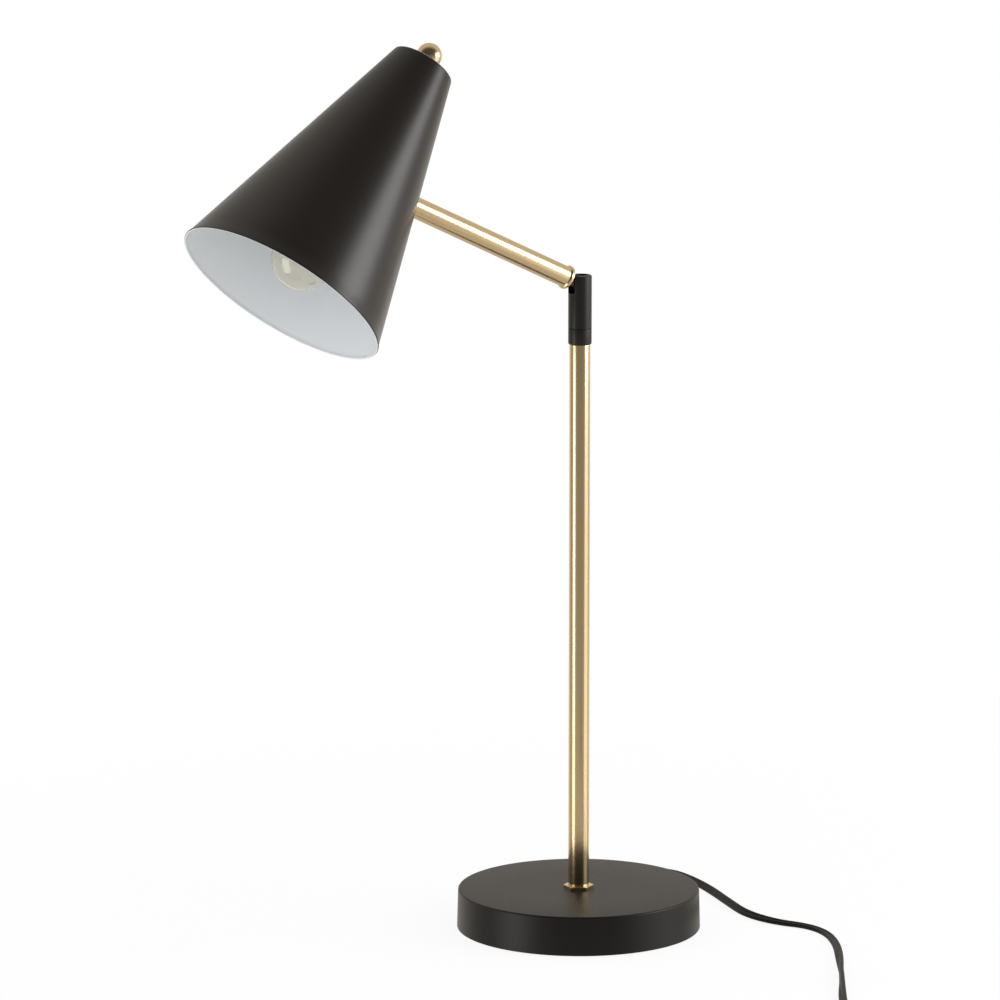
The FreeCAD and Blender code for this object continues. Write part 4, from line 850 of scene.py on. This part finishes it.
def cordTie(s):
    # P(u, v) = centre + path(u) in the plane of the bundle + v T; path is a rounded rectangle
    turn = coilStart - (coilWhole - math.pi / 2)
    out = np.array([math.cos(turn), math.sin(turn), 0])
    along = np.cross(upWay, out)
    inner = coilLook["outerRadius"] - coilLook["pitch"] * (coilLook["layerTurns"] + s["turnShare"])
    half = cordLook["width"] / 2 + s["clear"]
    low = coilLook["low"] - cordLook["thickness"] / 2 - s["clear"]
    high = coilLook["low"] + coilLook["rise"] + cordLook["thickness"] / 2 + s["clear"]
    left, right = inner - half, coilLook["outerRadius"] + half
    insideLoop, outsideLoop = [roundedOutline([
        (left - t, low - t, s["bend"] + t), (right + t, low - t, s["bend"] + t),
        (right + t, high + t, s["bend"] + t), (left - t, high + t, s["bend"] + t),
    ], 6) for t in (0, s["thickness"])]
    w = s["width"] / 2
    loops = [
        (outsideLoop, s["edge"] - w), (outsideLoop, w - s["edge"]), (insideLoop, w), (insideLoop, -w),
    ]
    points = np.stack([
        coilCentre + loop[:, :1] * out + loop[:, 1:] * upWay + shift * along for loop, shift in loops
    ]) * mm
    mesh = closedMesh("cord_tie_piece", points.reshape(-1, 3), gridFaces(4, len(insideLoop), True, True))
    finishMesh("cord_tie_piece", mesh, ["cord_tie"], ["tiePlastic"])


cordTie(tieLook)

# Plug: moulded body whose section grows from the cord's neck to a broad grip, with finger ridges
plugLook = {
    "neck": 10.0, "body": 22.0, "width": 24.0, "height": 14.0, "ridges": 4, "ridgeDepth": 0.5,
    "neckRadius": 3.35, "neckTaper": 0.05, "neckRidge": 0.3, "neckRidges": 3, "shoulder": 11.0,
    "endRound": 1.6,
}


def plugBody(s):
    # section at a: |y / W(a)|^n + |z / H(a)|^n = 1, n from 2 at the neck to 4 in the body
    end = s["neck"] + s["body"]
    a = np.concatenate([np.linspace(0, s["neck"], 24), np.linspace(s["neck"], end, 72)[1:]])
    grow = np.clip((a - s["neck"] + 2) / s["shoulder"], 0, 1)
    grow = grow * grow * (3 - 2 * grow)
    close = np.clip((end - a) / s["endRound"], 0, 1)
    close = 1 - 0.09 * (1 - np.sqrt(1 - (1 - close) ** 2))
    neck = s["neckRadius"] + s["neckTaper"] * a
    neckRidge = s["neckRidge"] * np.sin(a / s["neck"] * 2 * math.pi * s["neckRidges"])
    neckRidge = neckRidge * (a < s["neck"] - 1)
    width = (neck + neckRidge + (s["width"] / 2 - neck) * grow) * close
    height = (neck + neckRidge + (s["height"] / 2 - neck) * grow) * close
    along = (a - s["neck"] - 8) / 10
    ridge = s["ridgeDepth"] * np.clip(np.sin(along * math.pi * 2 * s["ridges"]), 0, 1)
    ridge = ridge * ((along > 0) & (along < 1))
    power = 2 + 2 * grow
    angle = np.linspace(0, 2 * math.pi, 96, endpoint=False)
    cos, sin = np.cos(angle), np.sin(angle)
    y = (width - ridge)[:, None] * np.sign(cos) * np.abs(cos)[None] ** (2 / power[:, None])
    z = height[:, None] * np.sign(sin) * np.abs(sin)[None] ** (2 / power[:, None])
    start = coilPoints[-1]
    side = np.cross(upWay, plugWay)
    ring = start + a[:, None, None] * plugWay + y[..., None] * side + z[..., None] * upWay
    ends = [np.repeat(ring[k].mean(0)[None, None], len(angle), 1) for k in (0, -1)]
    points = np.concatenate([ends[0], ring, ends[1]]) * mm
    faces = gridFaces(len(points), len(angle), False, True)
    mesh = closedMesh("plug_body_piece", points.reshape(-1, 3), faces)
    return finishMesh("plug_body_piece", mesh, ["plug_body"], ["cordVinyl"], 40)


plugPiece = plugBody(plugLook)
bladePiece = softenedCopy("plug_blades_piece", ["plug_blades"], "turnedBrass", 0.15)
print("switch, tie and plug made")

# Studio: pale floor, tall soft boxes at both sides, camera far away with a long lens
studio = {
    "heading": 31.0, "pitch": -10.51, "lens": 216.0, "sensor": 36.0,
    "place": (-2.0352, -3.2860, 1.0049),
    "skyCameraSide": 0.32, "skyFarSide": 1.05, "skyTopNear": 0.08, "skyTopFar": 0.66,
    "skyBelow": 0.62, "skyDiffuse": 0.8, "skyWarm": "#FFF8EE",
    "floorTone": "#F7F7F6", "floorGlow": 0.9, "glowFrom": 0.2, "glowTo": 0.8, "floorHalf": 30.0,
}
heading = math.radians(studio["heading"])
awayWay = np.array([math.sin(heading), math.cos(heading), 0])
rightWay = np.array([math.cos(heading), -math.sin(heading), 0])


def studioPoint(right, away, height):
    return Vector(rightWay * right + awayWay * away + upWay * height)


def aim(thing, target):
    thing.rotation_mode = "QUATERNION"
    thing.rotation_quaternion = (Vector(target) - thing.location).to_track_quat("-Z", "Y")


# name: right, away, height, aimed at height, width, tall, watts; the low ones reach below the table
softBoxes = {
    "rightHigh": (1.59, -0.22, 0.76, 0.5, 1.15, 0.8, 15.5),
    "rightLow": (1.58, -0.25, -0.2, -0.2, 1.4, 1.0, 4.0),
    "leftLow": (-1.42, -0.76, -0.05, -0.05, 0.72, 1.3, 7.0),
}
for name, (right, away, height, aimedAt, width, tall, watts) in softBoxes.items():
    light = bpy.data.lights.new(name, "AREA")
    light.shape = "RECTANGLE"
    light.size, light.size_y = width, tall
    light.energy = watts
    lamp = bpy.data.objects.new(name, light)
    lamp.location = studioPoint(right, away, height)
    aim(lamp, (0, 0, aimedAt))
    bpy.context.scene.collection.objects.link(lamp)

cameraData = bpy.data.cameras.new("camera")
cameraData.lens = studio["lens"]
cameraData.sensor_width = studio["sensor"]
cameraData.clip_start, cameraData.clip_end = 0.1, 100
camera = bpy.data.objects.new("camera", cameraData)
camera.location = studio["place"]
pitch = math.radians(studio["pitch"])
aim(camera, camera.location + Vector(awayWay * math.cos(pitch) + upWay * math.sin(pitch)))
bpy.context.scene.collection.objects.link(camera)
bpy.context.scene.camera = camera


def studioFloor():
    size = studio["floorHalf"]
    mesh = bpy.data.meshes.new("floor")
    corners = [(-size, -size, 0), (size, -size, 0), (size, size, 0), (-size, size, 0)]
    mesh.from_pydata(corners, [], [(0, 1, 2, 3)])
    floor = bpy.data.objects.new("floor", mesh)
    bpy.context.scene.collection.objects.link(floor)
    material = bpy.data.materials.new("paperFloor")
    material.use_nodes = True
    tree = material.node_tree
    tree.nodes.clear()
    # matt white paper; for the camera part of it glows, more so far away, so that it reads white
    # but keeps the contact shadow. Gloss and shadows look through it to the boxes' lower ends.
    paper = addNode(tree, "ShaderNodeBsdfDiffuse", None, {"Color": linearColour(studio["floorTone"])})
    glow = addNode(tree, "ShaderNodeEmission", None, {"Color": (1, 1, 1, 1), "Strength": 1.0})
    path = addNode(tree, "ShaderNodeLightPath")
    place = addNode(tree, "ShaderNodeTexCoord").outputs["Object"]
    reach = addNode(tree, "ShaderNodeVectorMath", {"operation": "LENGTH"}, {0: place}).outputs["Value"]
    far = addNode(tree, "ShaderNodeMapRange", {"interpolation_type": "SMOOTHSTEP"}, {
        "Value": reach, "From Min": studio["glowFrom"], "From Max": studio["glowTo"],
        "To Min": studio["floorGlow"], "To Max": 1.0,
    }).outputs["Result"]
    share = addNode(tree, "ShaderNodeMath", {"operation": "MULTIPLY"}, {
        0: path.outputs["Is Camera Ray"], 1: far,
    })
    both = addNode(tree, "ShaderNodeMixShader", None, {
        0: share.outputs[0], 1: paper.outputs[0], 2: glow.outputs[0],
    })
    through = addNode(tree, "ShaderNodeMath", {"operation": "MAXIMUM"}, {
        0: path.outputs["Is Glossy Ray"], 1: path.outputs["Is Shadow Ray"],
    })
    clear = addNode(tree, "ShaderNodeBsdfTransparent")
    whole = addNode(tree, "ShaderNodeMixShader", None, {
        0: through.outputs[0], 1: both.outputs[0], 2: clear.outputs[0],
    })
    addNode(tree, "ShaderNodeOutputMaterial", None, {"Surface": whole.outputs[0]})
    mesh.materials.append(material)


def studioSky():
    # white where the camera or a glass looks; even and dimmer for diffuse light; for gloss it falls
    # from the far side to the camera's side, and towards the top
    world = bpy.data.worlds.new("studioSky")
    world.use_nodes = True
    tree = world.node_tree
    tree.nodes.clear()
    way = addNode(tree, "ShaderNodeTexCoord").outputs["Generated"]
    facing = addNode(tree, "ShaderNodeVectorMath", {"operation": "DOT_PRODUCT"}, {
        0: way, 1: tuple(awayWay),
    })
    level = addNode(tree, "ShaderNodeMapRange", {"interpolation_type": "SMOOTHSTEP"}, {
        "Value": facing.outputs["Value"], "From Min": 0.1, "From Max": 0.95,
        "To Min": studio["skyCameraSide"], "To Max": studio["skyFarSide"],
    })
    height = addNode(tree, "ShaderNodeSeparateXYZ", None, {0: way}).outputs["Z"]
    topShare = addNode(tree, "ShaderNodeMapRange", {"interpolation_type": "SMOOTHSTEP"}, {
        "Value": height, "From Min": -0.1, "From Max": 0.35, "To Min": 0.0, "To Max": 1.0,
    })
    overhead = addNode(tree, "ShaderNodeMapRange", {"interpolation_type": "SMOOTHSTEP"}, {
        "Value": facing.outputs["Value"], "From Min": -0.3, "From Max": 0.3,
        "To Min": studio["skyTopNear"], "To Max": studio["skyTopFar"],
    })
    gloss = addNode(tree, "ShaderNodeMix", {"data_type": "FLOAT"}, {
        0: topShare.outputs["Result"], 2: level.outputs["Result"], 3: overhead.outputs["Result"],
    })
    under = addNode(tree, "ShaderNodeMapRange", {"interpolation_type": "SMOOTHSTEP"}, {
        "Value": height, "From Min": -0.2, "From Max": -0.45, "To Min": 0.0, "To Max": 1.0,
    })
    gloss = addNode(tree, "ShaderNodeMix", {"data_type": "FLOAT"}, {
        0: under.outputs["Result"], 2: gloss.outputs[0], 3: studio["skyBelow"],
    })
    path = addNode(tree, "ShaderNodeLightPath")
    seen = addNode(tree, "ShaderNodeMath", {"operation": "MAXIMUM"}, {
        0: path.outputs["Is Camera Ray"], 1: path.outputs["Is Transmission Ray"],
    })
    soft = addNode(tree, "ShaderNodeMix", {"data_type": "FLOAT"}, {
        0: path.outputs["Is Diffuse Ray"], 2: gloss.outputs[0], 3: studio["skyDiffuse"],
    })
    strength = addNode(tree, "ShaderNodeMix", {"data_type": "FLOAT"}, {
        0: seen.outputs[0], 2: soft.outputs[0], 3: 1.0,
    })
    tint = addNode(tree, "ShaderNodeMix", {"data_type": "RGBA"}, {
        0: path.outputs["Is Glossy Ray"], 6: (1, 1, 1, 1), 7: linearColour(studio["skyWarm"]),
    })
    sky = addNode(tree, "ShaderNodeBackground", None, {
        "Color": tint.outputs[2], "Strength": strength.outputs[0],
    })
    addNode(tree, "ShaderNodeOutputWorld", None, {"Surface": sky.outputs[0]})
    bpy.context.scene.world = world


studioFloor()
studioSky()
bpy.context.scene.view_settings.view_transform = "Standard"
print("studio ready")
